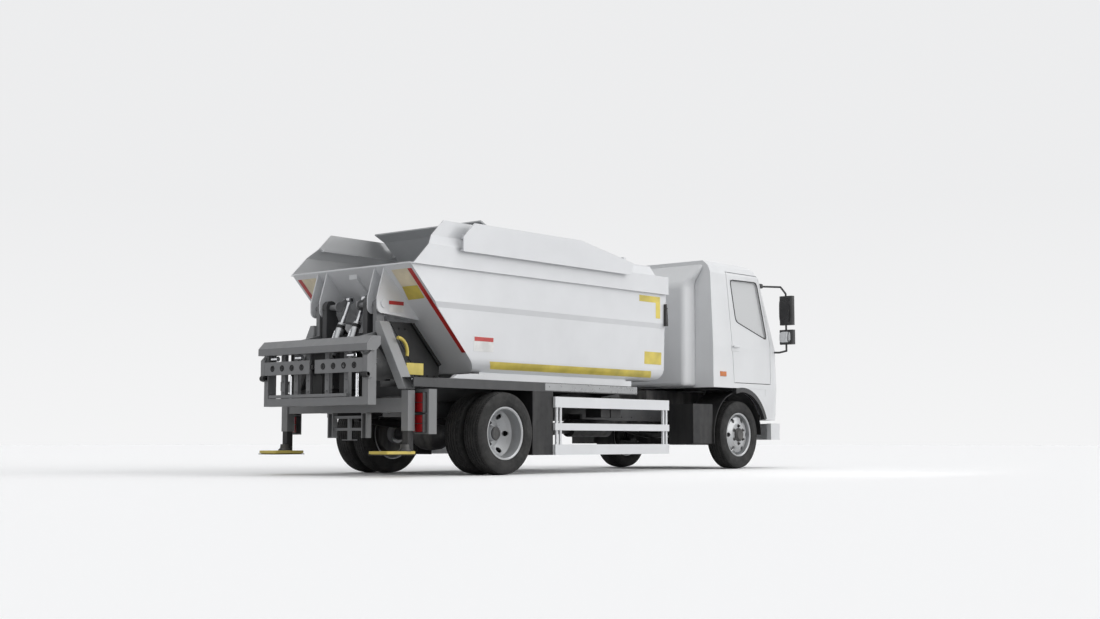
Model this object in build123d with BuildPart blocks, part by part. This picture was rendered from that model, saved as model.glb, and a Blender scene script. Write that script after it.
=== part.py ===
from build123d import *
import os
from math import atan2, cos, degrees, hypot, radians, sin

# Tipping refuse truck with a rear bin lift, in millimetres
# X points forward, Y to the left and Z up; the ground is z = 0

# Running gear
wheelbase = 4233
rear_axle_x = -1830
front_axle_x = rear_axle_x + wheelbase
tyre_r = 405.5
tyre_width = 225
hub_z = tyre_r
rim_seat_r = 248
rim_flange_r = 259
rim_width = 171
front_track_y = 844
twin_outer_y = 922
twin_inner_y = 662
kingpin_y = 690
hand_hole_r = 27
hand_hole_circle_r = 188
hand_hole_count = 6
disc_gauge = 11
axle_end_r = 42
hub_bore = axle_end_r + 0.3

# Ladder frame
rail_outer_y = 400
rail_height = 180
rail_bottom_z = 560
rail_top_z = rail_bottom_z + rail_height
rail_flange = 65
rail_gauge = 8
rail_rear_x = rear_axle_x - 1050
rail_front_x = rear_axle_x + 4985

# Subframe and skirts
subframe_top_z = 922
subframe_rear_x = rear_axle_x - 960
subframe_front_x = rear_axle_x + 2600
skirt_y = 955
skirt_bottom_z = 832
skirt_rear_x = rear_axle_x - 880
skirt_front_x = rear_axle_x + 2200
sheet = 6

# Tub
panel = 10
lip_x = rear_axle_x - 1138
lip_z = 1987
tub_front_x = rear_axle_x + 2892
tub_floor_z = 1000
rail_band_y = 890
upper_panel_y = 850
lower_panel_y = 830
foot_panel_y = 815
wing_y = 820
band_top_z = 2187
wing_fold_z = 2285
wing_rise = 160
wing_top_z = wing_fold_z + wing_rise
wing_rear_x = rear_axle_x - 676
wing_front_x = rear_axle_x + 2640
slope_foot_x = rear_axle_x - 174
board_y = 950
seat_gap = 5
base_bottom_z = subframe_top_z + seat_gap

# Hinge line shared by the tub and the lift
hinge_x = rear_axle_x - 1130
hinge_z = 1630
shaft_r = 28
shaft_play = 0.6
inner_ear_y = 338
outer_ear_y = 469
ear_gauge = 12
arm_gauge = 50
tower_y = 262
tower_gauge = 60

# Bin lift
beam_rear_x = rear_axle_x - 1610
beam_front_x = rear_axle_x - 1440
beam_half = 780
beam_low_z = 1155
beam_top_z = 1292
frame_half = 745
frame_bottom_z = 662
comb_low_z = 962
comb_top_z = 1090
comb_hole_r = 18
comb_hole_pitch = 144

# Lift cylinders: two, side by side, from the cross shaft to the levers
cylinder_y = 112
cylinder_foot_x = rear_axle_x - 1300
cylinder_foot_z = 1070
lever_reach = 130
lever_angle = 35
lift_barrel_r = 40
lift_barrel_length = 430
lift_rod_r = 22
eye_r = 36
eye_width = 46
cross_shaft_r = 30

# Tipping ram
ram_foot_x = rear_axle_x - 600
ram_foot_z = 660
ram_head_x = rear_axle_x + 500
ram_head_z = 905
ram_barrel_r = 70
ram_stage_r = 54
ram_rod_r = 40
ram_play = 1

# Stabilisers
leg_x = rear_axle_x - 1165
leg_y = 860
leg_size = 70
leg_play = 0.5
housing_wall = 8
housing_bottom_z = 425
housing_top_z = 800
pad_bottom_z = 200
pad_thickness = 38
pad_length = 370
pad_width = 250

# Cab
cab_rear_x = rear_axle_x + 3620
cab_half = 1000
cab_wall = 50
cab_floor_z = 958
cab_floor_thickness = 40
cab_skirt_z = 585
cab_roof_z = 2455
arch_r = 505
arch_trim_r = 560
door_gap = 8
door_rear_top_x = rear_axle_x + 3955
door_rear_low_x = rear_axle_x + 4060
door_front_x = rear_axle_x + 4850
door_low_z = 1025
door_top_z = 2335
door_hinge_x = door_front_x + 12
door_hinge_y = cab_half - 4
door_knuckle_r = 11
door_hinge_z = (1130, 1440)
tilt_x = rear_axle_x + 5085
tilt_z = 715
bumper_top_z = 545

os.makedirs("parts", exist_ok=True)

sides = (("left", 1), ("right", -1))


def side_shape(outline, y_low, y_high, mode=Mode.ADD):
    """Outline of (x, z) points seen from the side, solid from y_low to y_high."""
    with BuildSketch(Plane.XZ.offset(-y_high)) as face:
        with BuildLine():
            Polyline(*outline, close=True)
        make_face()
    extrude(face.sketch, amount=y_high - y_low, mode=mode)


def front_shape(outline, x_low, x_high, mode=Mode.ADD):
    """Outline of (y, z) points seen from the front, solid from x_low to x_high."""
    with BuildSketch(Plane.YZ.offset(x_low)) as face:
        with BuildLine():
            Polyline(*outline, close=True)
        make_face()
    extrude(face.sketch, amount=x_high - x_low, mode=mode)


def block(x, y, z, mode=Mode.ADD):
    """Box between the low and high value given for each direction."""
    with BuildSketch(Plane.XY.offset(z[0])) as face:
        with Locations(((x[0] + x[1]) / 2, (y[0] + y[1]) / 2)):
            Rectangle(x[1] - x[0], y[1] - y[0])
    extrude(face.sketch, amount=z[1] - z[0], mode=mode)


def bar(start, end, radius, bore=0, mode=Mode.ADD):
    """Round bar, or tube where it has a bore, between two points."""
    along = Vector(*end) - Vector(*start)
    with BuildSketch(Plane(origin=start, z_dir=along)) as face:
        Circle(radius)
        if bore:
            Circle(bore, mode=Mode.SUBTRACT)
    extrude(face.sketch, amount=along.length, mode=mode)


def turned(points, x, z, mode=Mode.ADD):
    """Profile of (y, radius) points turned about the line along Y at (x, z)."""
    with BuildSketch(Plane.YZ.offset(x)) as face:
        with BuildLine():
            Polyline(*[(y, z + r) for y, r in points], close=True)
        make_face()
    revolve(face.sketch, axis=Axis((x, 0, z), (0, 1, 0)), mode=mode)


def along_ram(x, z, angle, distance):
    """Point at a distance from (x, z) along a line that rises at the angle."""
    return (x + distance * cos(radians(angle)), z + distance * sin(radians(angle)))


# Tyres: crown, shoulders and bulged walls in one turned section
def tyre_section(centre_y):
    half = tyre_width / 2
    outline = (
        # share of half width, radius
        (0.75, rim_seat_r),
        (0.75, rim_flange_r + 1),
        (0.90, rim_flange_r + 10),
        (1.00, 322),
        (0.97, 362),
        (0.86, tyre_r - 14),
        (0.70, tyre_r - 1),
        (0.0, tyre_r),
    )
    right = [(centre_y + share * half, r) for share, r in outline]
    left = [(centre_y - share * half, r) for share, r in reversed(outline[:-1])]
    return right + left


# Rim: barrel with flanges, then a dished disc; reach is the hub face's place out from the centre
def rim(x, centre_y, reach, outward):
    half = rim_width / 2
    seat = rim_seat_r - 0.5
    barrel = (
        (half + 8, rim_flange_r),
        (half + 8, rim_flange_r - 8),
        (half, seat - 9),
        (-half, seat - 9),
        (-half - 8, rim_flange_r - 8),
        (-half - 8, rim_flange_r),
        (-half, rim_flange_r),
        (-half, seat),
        (half, seat),
        (half, rim_flange_r),
    )
    turned([(centre_y + y, r) for y, r in barrel], x, hub_z)
    well = 25 if reach > 0 else -40
    disc = (
        (reach, 62),
        (reach, 140),
        ((reach + well) / 2 + 8, 205),
        (well, seat - 9),
    )
    face = [(centre_y + outward * y, r) for y, r in disc]
    back = [(centre_y + outward * (y - disc_gauge), r) for y, r in reversed(disc)]
    turned(face + back, x, hub_z)
    with BuildSketch(Plane.XZ.offset(-centre_y - rim_width)) as holes:
        with Locations((x, hub_z)):
            with PolarLocations(hand_hole_circle_r, hand_hole_count):
                Circle(hand_hole_r)
    extrude(holes.sketch, amount=2 * rim_width, mode=Mode.SUBTRACT)


for side, s in sides:
    with BuildPart() as rear_tyres:
        for centre_y in (twin_outer_y, twin_inner_y):
            turned(tyre_section(s * centre_y), rear_axle_x, hub_z)
    rear_tyres.part.label = f"rear_tyres_{side}"
    export_step(rear_tyres.part, f"parts/rear_tyres_{side}.step")

    twin_face = (twin_outer_y - twin_inner_y) / 2
    with BuildPart() as rear_rims:
        rim(rear_axle_x, s * twin_outer_y, disc_gauge - twin_face, s)
        rim(rear_axle_x, s * twin_inner_y, disc_gauge - twin_face, -s)
        hub = (
            (500, hub_bore), (500, 95), (560, 95), (562, 185), (700, 185), (702, 95),
            (806, 95), (806, 76), (880, 70), (892, 58), (892, 0.1), (540, 0.1), (540, hub_bore),
        )
        turned([(s * y, r) for y, r in hub], rear_axle_x, hub_z)
    rear_rims.part.label = f"rear_rims_{side}"
    export_step(rear_rims.part, f"parts/rear_rims_{side}.step")

    with BuildPart() as front_tyre:
        turned(tyre_section(s * front_track_y), front_axle_x, hub_z)
    front_tyre.part.label = f"front_tyre_{side}"
    export_step(front_tyre.part, f"parts/front_tyre_{side}.step")

    with BuildPart() as front_rim:
        rim(front_axle_x, s * front_track_y, 88, s)
        hub = (
            (762, 31), (762, 170), (835, 170), (840, 90), (921, 90), (921, 62),
            (950, 58), (956, 48), (956, 31),
        )
        turned([(s * y, r) for y, r in hub], front_axle_x, hub_z)
    front_rim.part.label = f"front_rim_{side}"
    export_step(front_rim.part, f"parts/front_rim_{side}.step")

# Steering: knuckles around the beam's ends, and the tie rod behind the axle
boss_half = 45
boss_r = 30
yoke_gap = 5
yoke_thickness = 34
spindle_r = 30
tie_x = front_axle_x - 190
tie_z = 298
arm_low_z = hub_z - boss_half - yoke_gap - yoke_thickness
stud_r = 8

for side, s in sides:
    with BuildPart() as knuckle:
        for z in (arm_low_z, hub_z + boss_half + yoke_gap):
            block(
                (front_axle_x - 40, front_axle_x + 40),
                sorted((s * (kingpin_y - 30), s * (kingpin_y + 62))),
                (z, z + yoke_thickness),
            )
        block(
            (front_axle_x - 40, front_axle_x + 40),
            sorted((s * (kingpin_y + 36), s * (kingpin_y + 62))),
            (arm_low_z, hub_z + boss_half + yoke_gap + yoke_thickness),
        )
        bar(
            (front_axle_x, s * (kingpin_y + 50), hub_z),
            (front_axle_x, s * 938, hub_z),
            spindle_r,
        )
        bar(
            (front_axle_x, s * kingpin_y, arm_low_z),
            (front_axle_x, s * kingpin_y, hub_z + boss_half + yoke_gap + yoke_thickness),
            15,
        )
        with BuildSketch(Plane.XY.offset(arm_low_z)):
            with BuildLine():
                Polyline(
                    (front_axle_x - 20, s * (kingpin_y + 25)),
                    (tie_x - 22, s * (kingpin_y + 18)),
                    (tie_x - 22, s * (kingpin_y - 18)),
                    (tie_x + 10, s * (kingpin_y - 22)),
                    (front_axle_x - 20, s * (kingpin_y - 28)),
                    close=True,
                )
            make_face()
        extrude(amount=20)
        bar(
            (tie_x, s * kingpin_y, arm_low_z - 1),
            (tie_x, s * kingpin_y, arm_low_z + 21),
            stud_r + 0.6,
            mode=Mode.SUBTRACT,
        )
    knuckle.part.label = f"knuckle_{side}"
    export_step(knuckle.part, f"parts/knuckle_{side}.step")

with BuildPart() as tie_rod:
    bar((tie_x, -kingpin_y, tie_z), (tie_x, kingpin_y, tie_z), 14)
    for side, s in sides:
        bar((tie_x, s * kingpin_y, tie_z - 17), (tie_x, s * kingpin_y, tie_z + 17), 24)
        bar((tie_x, s * kingpin_y, tie_z), (tie_x, s * kingpin_y, arm_low_z + 24), stud_r)
tie_rod.part.label = "tie_rod"
export_step(tie_rod.part, "parts/tie_rod.step")

# Front axle: dropped I beam with the spring seats, and its leaf springs
front_spring_y = 375
spring_width = 70
front_seat_z = 386

with BuildPart() as front_axle:
    low_z = 292
    front_shape(
        (
            # y, z
            (0, low_z), (500, low_z), (590, hub_z - boss_half), (kingpin_y, hub_z - boss_half),
            (kingpin_y, hub_z + boss_half), (585, hub_z + boss_half),
            (490, front_seat_z - 12), (0, front_seat_z - 12),
        ),
        front_axle_x - 26,
        front_axle_x + 26,
    )
    for z in (low_z, front_seat_z - 26):
        block((front_axle_x - 45, front_axle_x + 45), (0, 490), (z, z + 14))
    bar(
        (front_axle_x, kingpin_y, hub_z - boss_half),
        (front_axle_x, kingpin_y, hub_z + boss_half),
        boss_r,
    )
    bar(
        (front_axle_x, kingpin_y, hub_z - boss_half - 1),
        (front_axle_x, kingpin_y, hub_z + boss_half + 1),
        15.6,
        mode=Mode.SUBTRACT,
    )
    mirror(about=Plane.XZ)
front_axle.part.label = "front_axle"
export_step(front_axle.part, "parts/front_axle.step")


def leaf_spring(x, y, seat_z, half_length, rise, thick):
    """Arched leaf pack on its axle seat, thinner at the ends, with the eye brackets."""
    with BuildSketch(Plane.XZ.offset(-y - spring_width / 2)) as leaves:
        with BuildLine():
            ThreePointArc(
                (x - half_length, seat_z + rise),
                (x, seat_z),
                (x + half_length, seat_z + rise),
            )
            Line((x + half_length, seat_z + rise), (x + half_length, seat_z + rise + 18))
            ThreePointArc(
                (x + half_length, seat_z + rise + 18),
                (x, seat_z + thick),
                (x - half_length, seat_z + rise + 18),
            )
            Line((x - half_length, seat_z + rise + 18), (x - half_length, seat_z + rise))
        make_face()
    extrude(leaves.sketch, amount=spring_width)
    for end in (-1, 1):
        eye_x = x + end * half_length
        bar(
            (eye_x, y - spring_width / 2, seat_z + rise + 9),
            (eye_x, y + spring_width / 2, seat_z + rise + 9),
            24,
        )
        block(
            (eye_x - 30, eye_x + 30),
            (y - spring_width / 2, y + spring_width / 2),
            (seat_z + rise + 20, rail_bottom_z + (0 if y < rail_outer_y else 90)),
        )


rear_spring_y = rail_outer_y + spring_width / 2
rear_seat_z = hub_z + 62

with BuildPart() as springs:
    leaf_spring(front_axle_x, front_spring_y - 15, front_seat_z - 12, 560, 85, 55)
    leaf_spring(rear_axle_x, rear_spring_y, rear_seat_z, 620, 75, 70)
    mirror(about=Plane.XZ)
springs.part.label = "leaf_springs"
export_step(springs.part, "parts/leaf_springs.step")

# Rear axle: tubes, round casing, pinion nose and propeller shaft to the engine
shaft_rear_x = rear_axle_x + 330
engine_rear_x = rear_axle_x + 3290
shaft_front_x = engine_rear_x - 4
shaft_front_z = 560

with BuildPart() as rear_axle:
    casing = (
        (-490, 0.1), (-490, 62), (-300, 62), (-190, 120), (-110, 158), (0, 170),
        (110, 158), (190, 120), (300, 62), (490, 62), (490, 0.1),
    )
    turned(casing, rear_axle_x, hub_z)
    bar((rear_axle_x, -538, hub_z), (rear_axle_x, 538, hub_z), axle_end_r)
    bar((rear_axle_x + 60, 0, hub_z), (shaft_rear_x, 0, hub_z + 8), 82)
    bar((shaft_rear_x - 20, 0, hub_z + 8), (shaft_front_x, 0, shaft_front_z), 42)
rear_axle.part.label = "rear_axle"
export_step(rear_axle.part, "parts/rear_axle.step")

# Ladder frame: two channels and the members between them
member_z = rail_bottom_z + 85
members = (
    # x, z
    (rail_rear_x + 45, member_z),
    (ram_foot_x, ram_foot_z),
    (rear_axle_x + 720, member_z),
    (rear_axle_x + 1750, member_z),
    (rear_axle_x + 2780, member_z),
    (rail_front_x - 50, member_z),
)
tilt_plate_y = (288, 342)
tilt_plate_gauge = 10
tilt_pin_r = 14

with BuildPart() as frame_rails:
    web = rail_outer_y - rail_gauge
    toe = rail_outer_y - rail_flange
    channel = (
        (rail_outer_y, rail_bottom_z), (rail_outer_y, rail_top_z), (toe, rail_top_z),
        (toe, rail_top_z - rail_gauge), (web, rail_top_z - rail_gauge),
        (web, rail_bottom_z + rail_gauge), (toe, rail_bottom_z + rail_gauge),
        (toe, rail_bottom_z),
    )
    front_shape(channel, rail_rear_x, rail_front_x)
    # Cab hinge plates with their pin, on the rail's front end
    for y in tilt_plate_y:
        side_shape(
            (
                # x, z
                (rail_front_x - 120, rail_bottom_z), (tilt_x - 115, rail_bottom_z),
                (tilt_x + 16, tilt_z - 18), (tilt_x + 16, tilt_z + 20),
                (rail_front_x - 120, rail_top_z),
            ),
            y,
            y + tilt_plate_gauge,
        )
    bar(
        (tilt_x, tilt_plate_y[0], tilt_z),
        (tilt_x, tilt_plate_y[1] + tilt_plate_gauge, tilt_z),
        tilt_pin_r,
    )
    mirror(about=Plane.XZ)
    for x, z in members:
        bar((x, -web, z), (x, web, z), 38)
frame_rails.part.label = "frame_rails"
export_step(frame_rails.part, "parts/frame_rails.step")

# Subframe: long members on the rails, outriggers, and the folded skirts they carry
splash_x = rear_axle_x + 470
outrigger_x = (skirt_rear_x + 60, splash_x + 28, rear_axle_x + 1400, skirt_front_x - 60)

with BuildPart() as subframe:
    block(
        (subframe_rear_x, subframe_front_x),
        (rail_outer_y - rail_flange, rail_outer_y),
        (rail_top_z, subframe_top_z),
    )
    for x in outrigger_x:
        front_shape(
            (
                # y, z
                (rail_outer_y - 5, skirt_bottom_z - 30), (skirt_y - sheet, skirt_bottom_z + 40),
                (skirt_y - sheet, subframe_top_z - sheet), (rail_outer_y - 5, subframe_top_z - sheet),
            ),
            x - 20,
            x + 20,
        )
    front_shape(
        (
            (skirt_y, skirt_bottom_z), (skirt_y, subframe_top_z),
            (skirt_y - 220, subframe_top_z), (skirt_y - 220, subframe_top_z - sheet),
            (skirt_y - sheet, subframe_top_z - sheet), (skirt_y - sheet, skirt_bottom_z),
        ),
        skirt_rear_x,
        skirt_front_x,
    )
    mirror(about=Plane.XZ)
    for x in (rear_axle_x + 720, rear_axle_x + 1750, subframe_front_x - 40):
        block(
            (x - 30, x + 30),
            (60 - rail_outer_y, rail_outer_y - 60),
            (rail_top_z, rail_top_z + 70),
        )
subframe.part.label = "subframe"
export_step(subframe.part, "parts/subframe.step")

# Hinge towers: a plate each side up to the hinge line, tied across, with slanting braces
tower_foot_x = subframe_rear_x + 230
brace_foot_y = 788
brace_foot_reach = 28
brace_foot_z = 815
brace_width = 70

with BuildPart() as hinge_towers:
    side_shape(
        (
            # x, z
            (subframe_rear_x - 130, 845), (tower_foot_x, 845), (tower_foot_x, 960),
            (hinge_x + 62, hinge_z - 70), (hinge_x + 62, hinge_z), (hinge_x - 62, hinge_z),
            (hinge_x - 62, 1250), (subframe_rear_x - 130, 1130),
        ),
        tower_y,
        tower_y + tower_gauge,
    )
    bar((hinge_x, tower_y, hinge_z), (hinge_x, tower_y + tower_gauge, hinge_z), 68)
    block((subframe_rear_x - 130, tower_foot_x), (tower_y, toe), (845, subframe_top_z))
    block(
        (rail_rear_x - 40, rail_rear_x + 50),
        (rail_outer_y, brace_foot_y + brace_foot_reach),
        (brace_foot_z - 65, brace_foot_z + 25),
    )
    block((rail_rear_x - 40, subframe_rear_x), (toe, rail_outer_y), (rail_top_z, subframe_top_z - 20))
    brace_low = (hinge_x + 60, brace_foot_y, brace_foot_z)
    brace_high = (hinge_x + 40, tower_y + 20, 1380)
    along = Vector(*brace_high) - Vector(*brace_low)
    with BuildSketch(Plane(origin=brace_low, z_dir=along, x_dir=(1, 0, 0))):
        Rectangle(brace_width, 40)
    extrude(amount=along.length)
    mirror(about=Plane.XZ)
    bar((hinge_x + 62, -tower_y - 10, 1330), (hinge_x + 62, tower_y + 10, 1330), 40)
    # Cross shaft of the lift cylinders, in brackets off the towers
    bar(
        (cylinder_foot_x, -600, cylinder_foot_z),
        (cylinder_foot_x, 600, cylinder_foot_z),
        cross_shaft_r,
    )
    for y in (tower_y + 10, -tower_y - 50):
        side_shape(
            (
                # x, z
                (cylinder_foot_x - 50, cylinder_foot_z + 50),
                (cylinder_foot_x - 50, cylinder_foot_z - 50),
                (subframe_rear_x - 130, 870), (subframe_rear_x - 130, cylinder_foot_z + 50),
            ),
            y,
            y + 40,
        )
    bar(
        (hinge_x, -tower_y - tower_gauge - 1, hinge_z),
        (hinge_x, tower_y + tower_gauge + 1, hinge_z),
        shaft_r + shaft_play,
        mode=Mode.SUBTRACT,
    )
hinge_towers.part.label = "hinge_towers"
export_step(hinge_towers.part, "parts/hinge_towers.step")

# Tub: one thin shell, folded at the sides and round at its foot, then parted into its panels
slope_run = slope_foot_x - lip_x
slope_drop = lip_z - tub_floor_z
slope_angle = degrees(atan2(slope_drop, slope_run))
foot_round = 150
front_round = 130


def round_corner(centre, radius, from_angle, to_angle):
    """Arc about a centre in the drawing plane, from one angle to another."""
    points = [
        (centre[0] + radius * cos(radians(angle)), centre[1] + radius * sin(radians(angle)))
        for angle in (from_angle, (from_angle + to_angle) / 2, to_angle)
    ]
    ThreePointArc(*points)


def tub_body(inset):
    """Solid left half of the tub below its lip, moved in by the inset."""
    floor = tub_floor_z + inset
    nose = inset / sin(radians(slope_angle))
    cut = inset * slope_run / slope_drop
    with BuildPart() as body:
        with BuildSketch(Plane.YZ.offset(lip_x)):
            with BuildLine():
                Line((0, floor), (foot_panel_y - foot_round, floor))
                round_corner(
                    (foot_panel_y - foot_round, tub_floor_z + foot_round),
                    foot_round - inset, -90, 0,
                )
                Polyline(
                    (foot_panel_y - inset, tub_floor_z + foot_round),
                    (lower_panel_y - inset, 1600),
                    (upper_panel_y - inset, 1655),
                    (upper_panel_y - inset, lip_z),
                    (0, lip_z),
                    (0, floor),
                )
            make_face()
        extrude(amount=tub_front_x - lip_x)
        with BuildSketch(Plane.XZ.offset(-rail_band_y)):
            with BuildLine():
                Polyline(
                    (lip_x + nose, lip_z),
                    (slope_foot_x + nose - cut, floor),
                    (tub_front_x - front_round, floor),
                )
                round_corner(
                    (tub_front_x - front_round, tub_floor_z + front_round),
                    front_round - inset, -90, 0,
                )
                Polyline(
                    (tub_front_x - inset, tub_floor_z + front_round),
                    (tub_front_x - inset, lip_z),
                    (lip_x + nose, lip_z),
                )
            make_face()
        extrude(amount=2 * rail_band_y, mode=Mode.INTERSECT)
    return body.part


half_shell = tub_body(0) - tub_body(panel)
side_floor_z = tub_floor_z + foot_round
slope_in = 24


def slope_x(z):
    """Outer face of the sloping rear wall at a height."""
    return lip_x + (lip_z - z) * slope_run / slope_drop


def split_x(z):
    """Line where the sloping wall's panel meets the floor and sides."""
    return slope_x(z) + slope_in


ear_toe_z = 1498

with BuildPart() as tub_rear:
    add(half_shell)
    side_shape(
        (
            (lip_x - 100, lip_z + 10), (lip_x - 100, 900),
            (split_x(900), 900), (split_x(lip_z + 10), lip_z + 10),
        ),
        0,
        rail_band_y,
        mode=Mode.INTERSECT,
    )
    # Lip flange along the top edge, and the rib down the middle
    block((lip_x - 4, lip_x + 36), (0, upper_panel_y - panel - 5), (lip_z, lip_z + 16))
    side_shape(
        (
            # x, z
            (slope_x(lip_z - 40) + 5, lip_z - 40), (slope_x(tub_floor_z + 150) + 5, tub_floor_z + 150),
            (slope_x(tub_floor_z + 110) - 40, tub_floor_z + 110),
            (slope_x(lip_z - 90) - 40, lip_z - 90),
        ),
        0,
        55,
    )
    # Ears: two pairs of plates from the lip down to the hinge line, then back to the slope
    for y in (inner_ear_y, outer_ear_y):
        with BuildSketch(Plane.XZ.offset(-y - ear_gauge)):
            with BuildLine():
                Polyline(
                    # x, z
                    (slope_x(lip_z - 6) + 5, lip_z - 6),
                    (hinge_x - 85, hinge_z + 60),
                    (hinge_x - 85, hinge_z - 30),
                )
                ThreePointArc(
                    (hinge_x - 85, hinge_z - 30),
                    (hinge_x - 62, hinge_z - 78),
                    (hinge_x - 8, hinge_z - 92),
                )
                Polyline(
                    (hinge_x - 8, hinge_z - 92),
                    (slope_x(ear_toe_z) + 5, ear_toe_z),
                    (slope_x(lip_z - 6) + 5, lip_z - 6),
                )
            make_face()
        extrude(amount=ear_gauge)
    bar(
        (hinge_x, inner_ear_y - 1, hinge_z),
        (hinge_x, outer_ear_y + ear_gauge + 1, hinge_z),
        shaft_r + shaft_play,
        mode=Mode.SUBTRACT,
    )
    mirror(about=Plane.XZ)
tub_rear.part.label = "tub_rear_slope"
export_step(tub_rear.part, "parts/tub_rear_slope.step")

with BuildPart() as tub_floor:
    add(half_shell)
    side_shape(
        (
            (split_x(900), 900), (tub_front_x + 10, 900),
            (tub_front_x + 10, side_floor_z), (split_x(side_floor_z), side_floor_z),
        ),
        0,
        rail_band_y,
        mode=Mode.INTERSECT,
    )
    # Base bearers along the foot, standing on the subframe when the tub is down
    block(
        (rear_axle_x - 60, rear_axle_x + 2310),
        (600, foot_panel_y - 20),
        (base_bottom_z, base_bottom_z + 62),
    )
    block(
        (rear_axle_x - 60, rear_axle_x + 2310),
        (foot_panel_y - 170, foot_panel_y - 100),
        (base_bottom_z + 62, tub_floor_z + 18),
    )
    block(
        (rear_axle_x - 60, rear_axle_x + 2310),
        (rail_outer_y - 60, rail_outer_y),
        (base_bottom_z, tub_floor_z + 4),
    )
    mirror(about=Plane.XZ)
    # Head bracket of the tipping ram, a cheek each side of its eye
    for y in (-62, 44):
        side_shape(
            (
                (ram_head_x - 45, tub_floor_z + 4), (ram_head_x - 45, ram_head_z - 40),
                (ram_head_x + 45, ram_head_z - 40), (ram_head_x + 110, tub_floor_z + 4),
            ),
            y,
            y + 18,
        )
tub_floor.part.label = "tub_floor"
export_step(tub_floor.part, "parts/tub_floor.step")

with BuildPart() as tub_front:
    add(half_shell)
    block(
        (tub_front_x - panel, tub_front_x + 1),
        (0, rail_band_y),
        (side_floor_z, lip_z + 10),
        mode=Mode.INTERSECT,
    )
    block((tub_front_x - panel, tub_front_x), (0, rail_band_y), (lip_z, band_top_z))
    mirror(about=Plane.XZ)
    # Small catch bracket on each front edge
    for s in (1, -1):
        side_shape(
            (
                (tub_front_x, 1860), (tub_front_x + 40, 1800),
                (tub_front_x + 52, 1640), (tub_front_x, 1640),
            ),
            *sorted((s * 760, s * 800)),
        )
tub_front.part.label = "tub_front_wall"
export_step(tub_front.part, "parts/tub_front_wall.step")

# Side panels: fold under the rail band, rail band, and the wing that carries on upward
half_wing = (
    # y, z of the outer face, from the rail band up
    (rail_band_y, lip_z), (rail_band_y, band_top_z), (wing_y, wing_fold_z), (wing_y, wing_top_z),
)
guide_y = 775
board_rear_x = rear_axle_x - 530
board_front_x = rear_axle_x + 2173
board_step_x = rear_axle_x - 374
board_shoulder_x = rear_axle_x + 1260
board_low_z = 2150
board_front_z = 2275



def wing_plate():
    """Left rail band and wing as one folded plate, cut to the outline seen from the side."""
    inner = [(y - panel, z) for y, z in reversed(half_wing[1:])]
    inner += [
        (rail_band_y - panel, lip_z + panel), (upper_panel_y - panel, lip_z + panel),
        (upper_panel_y - panel, lip_z),
    ]
    with BuildPart() as wing:
        front_shape(list(half_wing) + inner, lip_x, tub_front_x - panel)
        side_shape(
            (
                # x, z
                (lip_x, lip_z), (wing_rear_x, wing_top_z), (board_shoulder_x, wing_top_z - 8),
                (board_front_x, 2296), (wing_front_x, 2296), (wing_front_x, band_top_z),
                (tub_front_x, band_top_z), (tub_front_x, lip_z),
            ),
            0,
            rail_band_y,
            mode=Mode.INTERSECT,
        )
    return wing.part


for side, s in sides:
    with BuildPart() as tub_side:
        add(half_shell)
        side_shape(
            (
                (split_x(side_floor_z), side_floor_z), (tub_front_x - panel, side_floor_z),
                (tub_front_x - panel, lip_z), (split_x(lip_z), lip_z),
            ),
            0,
            rail_band_y,
            mode=Mode.INTERSECT,
        )
        add(wing_plate())
        # Guide rail inside the wing, for the packer's shoes
        block(
            (rear_axle_x - 800, wing_front_x - 40),
            (guide_y, wing_y - panel + 2),
            (wing_fold_z - 24, wing_fold_z),
        )
        # Side board outside the wing, on its spacers
        side_shape(
            (
                # x, z
                (board_rear_x, board_low_z), (board_rear_x, 2284), (board_step_x, wing_top_z - 8),
                (board_shoulder_x, wing_top_z - 7), (board_front_x, board_front_z),
                (board_front_x - 64, board_low_z - 3),
            ),
            board_y - 14,
            board_y,
        )
        for x in (board_rear_x + 120, rear_axle_x + 800, board_front_x - 160):
            block((x - 20, x + 20), (wing_y - 2, board_y - 10), (2290, 2330))
        block(
            (board_rear_x + 10, board_front_x - 80),
            (rail_band_y - 4, board_y - 10),
            (board_low_z + 4, board_low_z + 20),
        )
        if s < 0:
            mirror(about=Plane.XZ, mode=Mode.REPLACE)
    tub_side.part.label = f"tub_side_{side}"
    export_step(tub_side.part, f"parts/tub_side_{side}.step")

# Packer plate: folded plate across the tub, on shoes that slide along the wings' fold
plate_half = 770
plate_points = (
    # x, z along the plate
    (rear_axle_x - 100, 2515), (rear_axle_x + 40, 2450),
    (rear_axle_x + 240, 2270), (rear_axle_x + 420, 1960),
)
plate_gauge = 14

with BuildPart() as packer:
    under = [(x - 6, z - plate_gauge) for x, z in reversed(plate_points)]
    side_shape(list(plate_points) + under, 0, plate_half)
    side_shape(
        (
            (rear_axle_x + 120, 2375), (rear_axle_x + 240, 2265), (rear_axle_x + 420, 1960),
            (rear_axle_x + 520, 1960), (rear_axle_x + 560, 2380),
        ),
        plate_half - 16,
        plate_half,
    )
    block(
        (rear_axle_x + 180, rear_axle_x + 620),
        (plate_half - 16, wing_y - panel - 6),
        (wing_fold_z + 0.5, wing_fold_z + 60),
    )
    mirror(about=Plane.XZ)
packer.part.label = "packer_plate"
export_step(packer.part, "parts/packer_plate.step")

# Lift arms: stub shafts through ears and towers, bent arms, levers for the cylinders
arm_y = (inner_ear_y + ear_gauge + outer_ear_y) / 2
lever_y = cylinder_y + eye_width / 2 + 7
lever_gauge = 20
lever_eye_x = hinge_x + lever_reach * cos(radians(lever_angle))
lever_eye_z = hinge_z + lever_reach * sin(radians(lever_angle))

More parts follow.
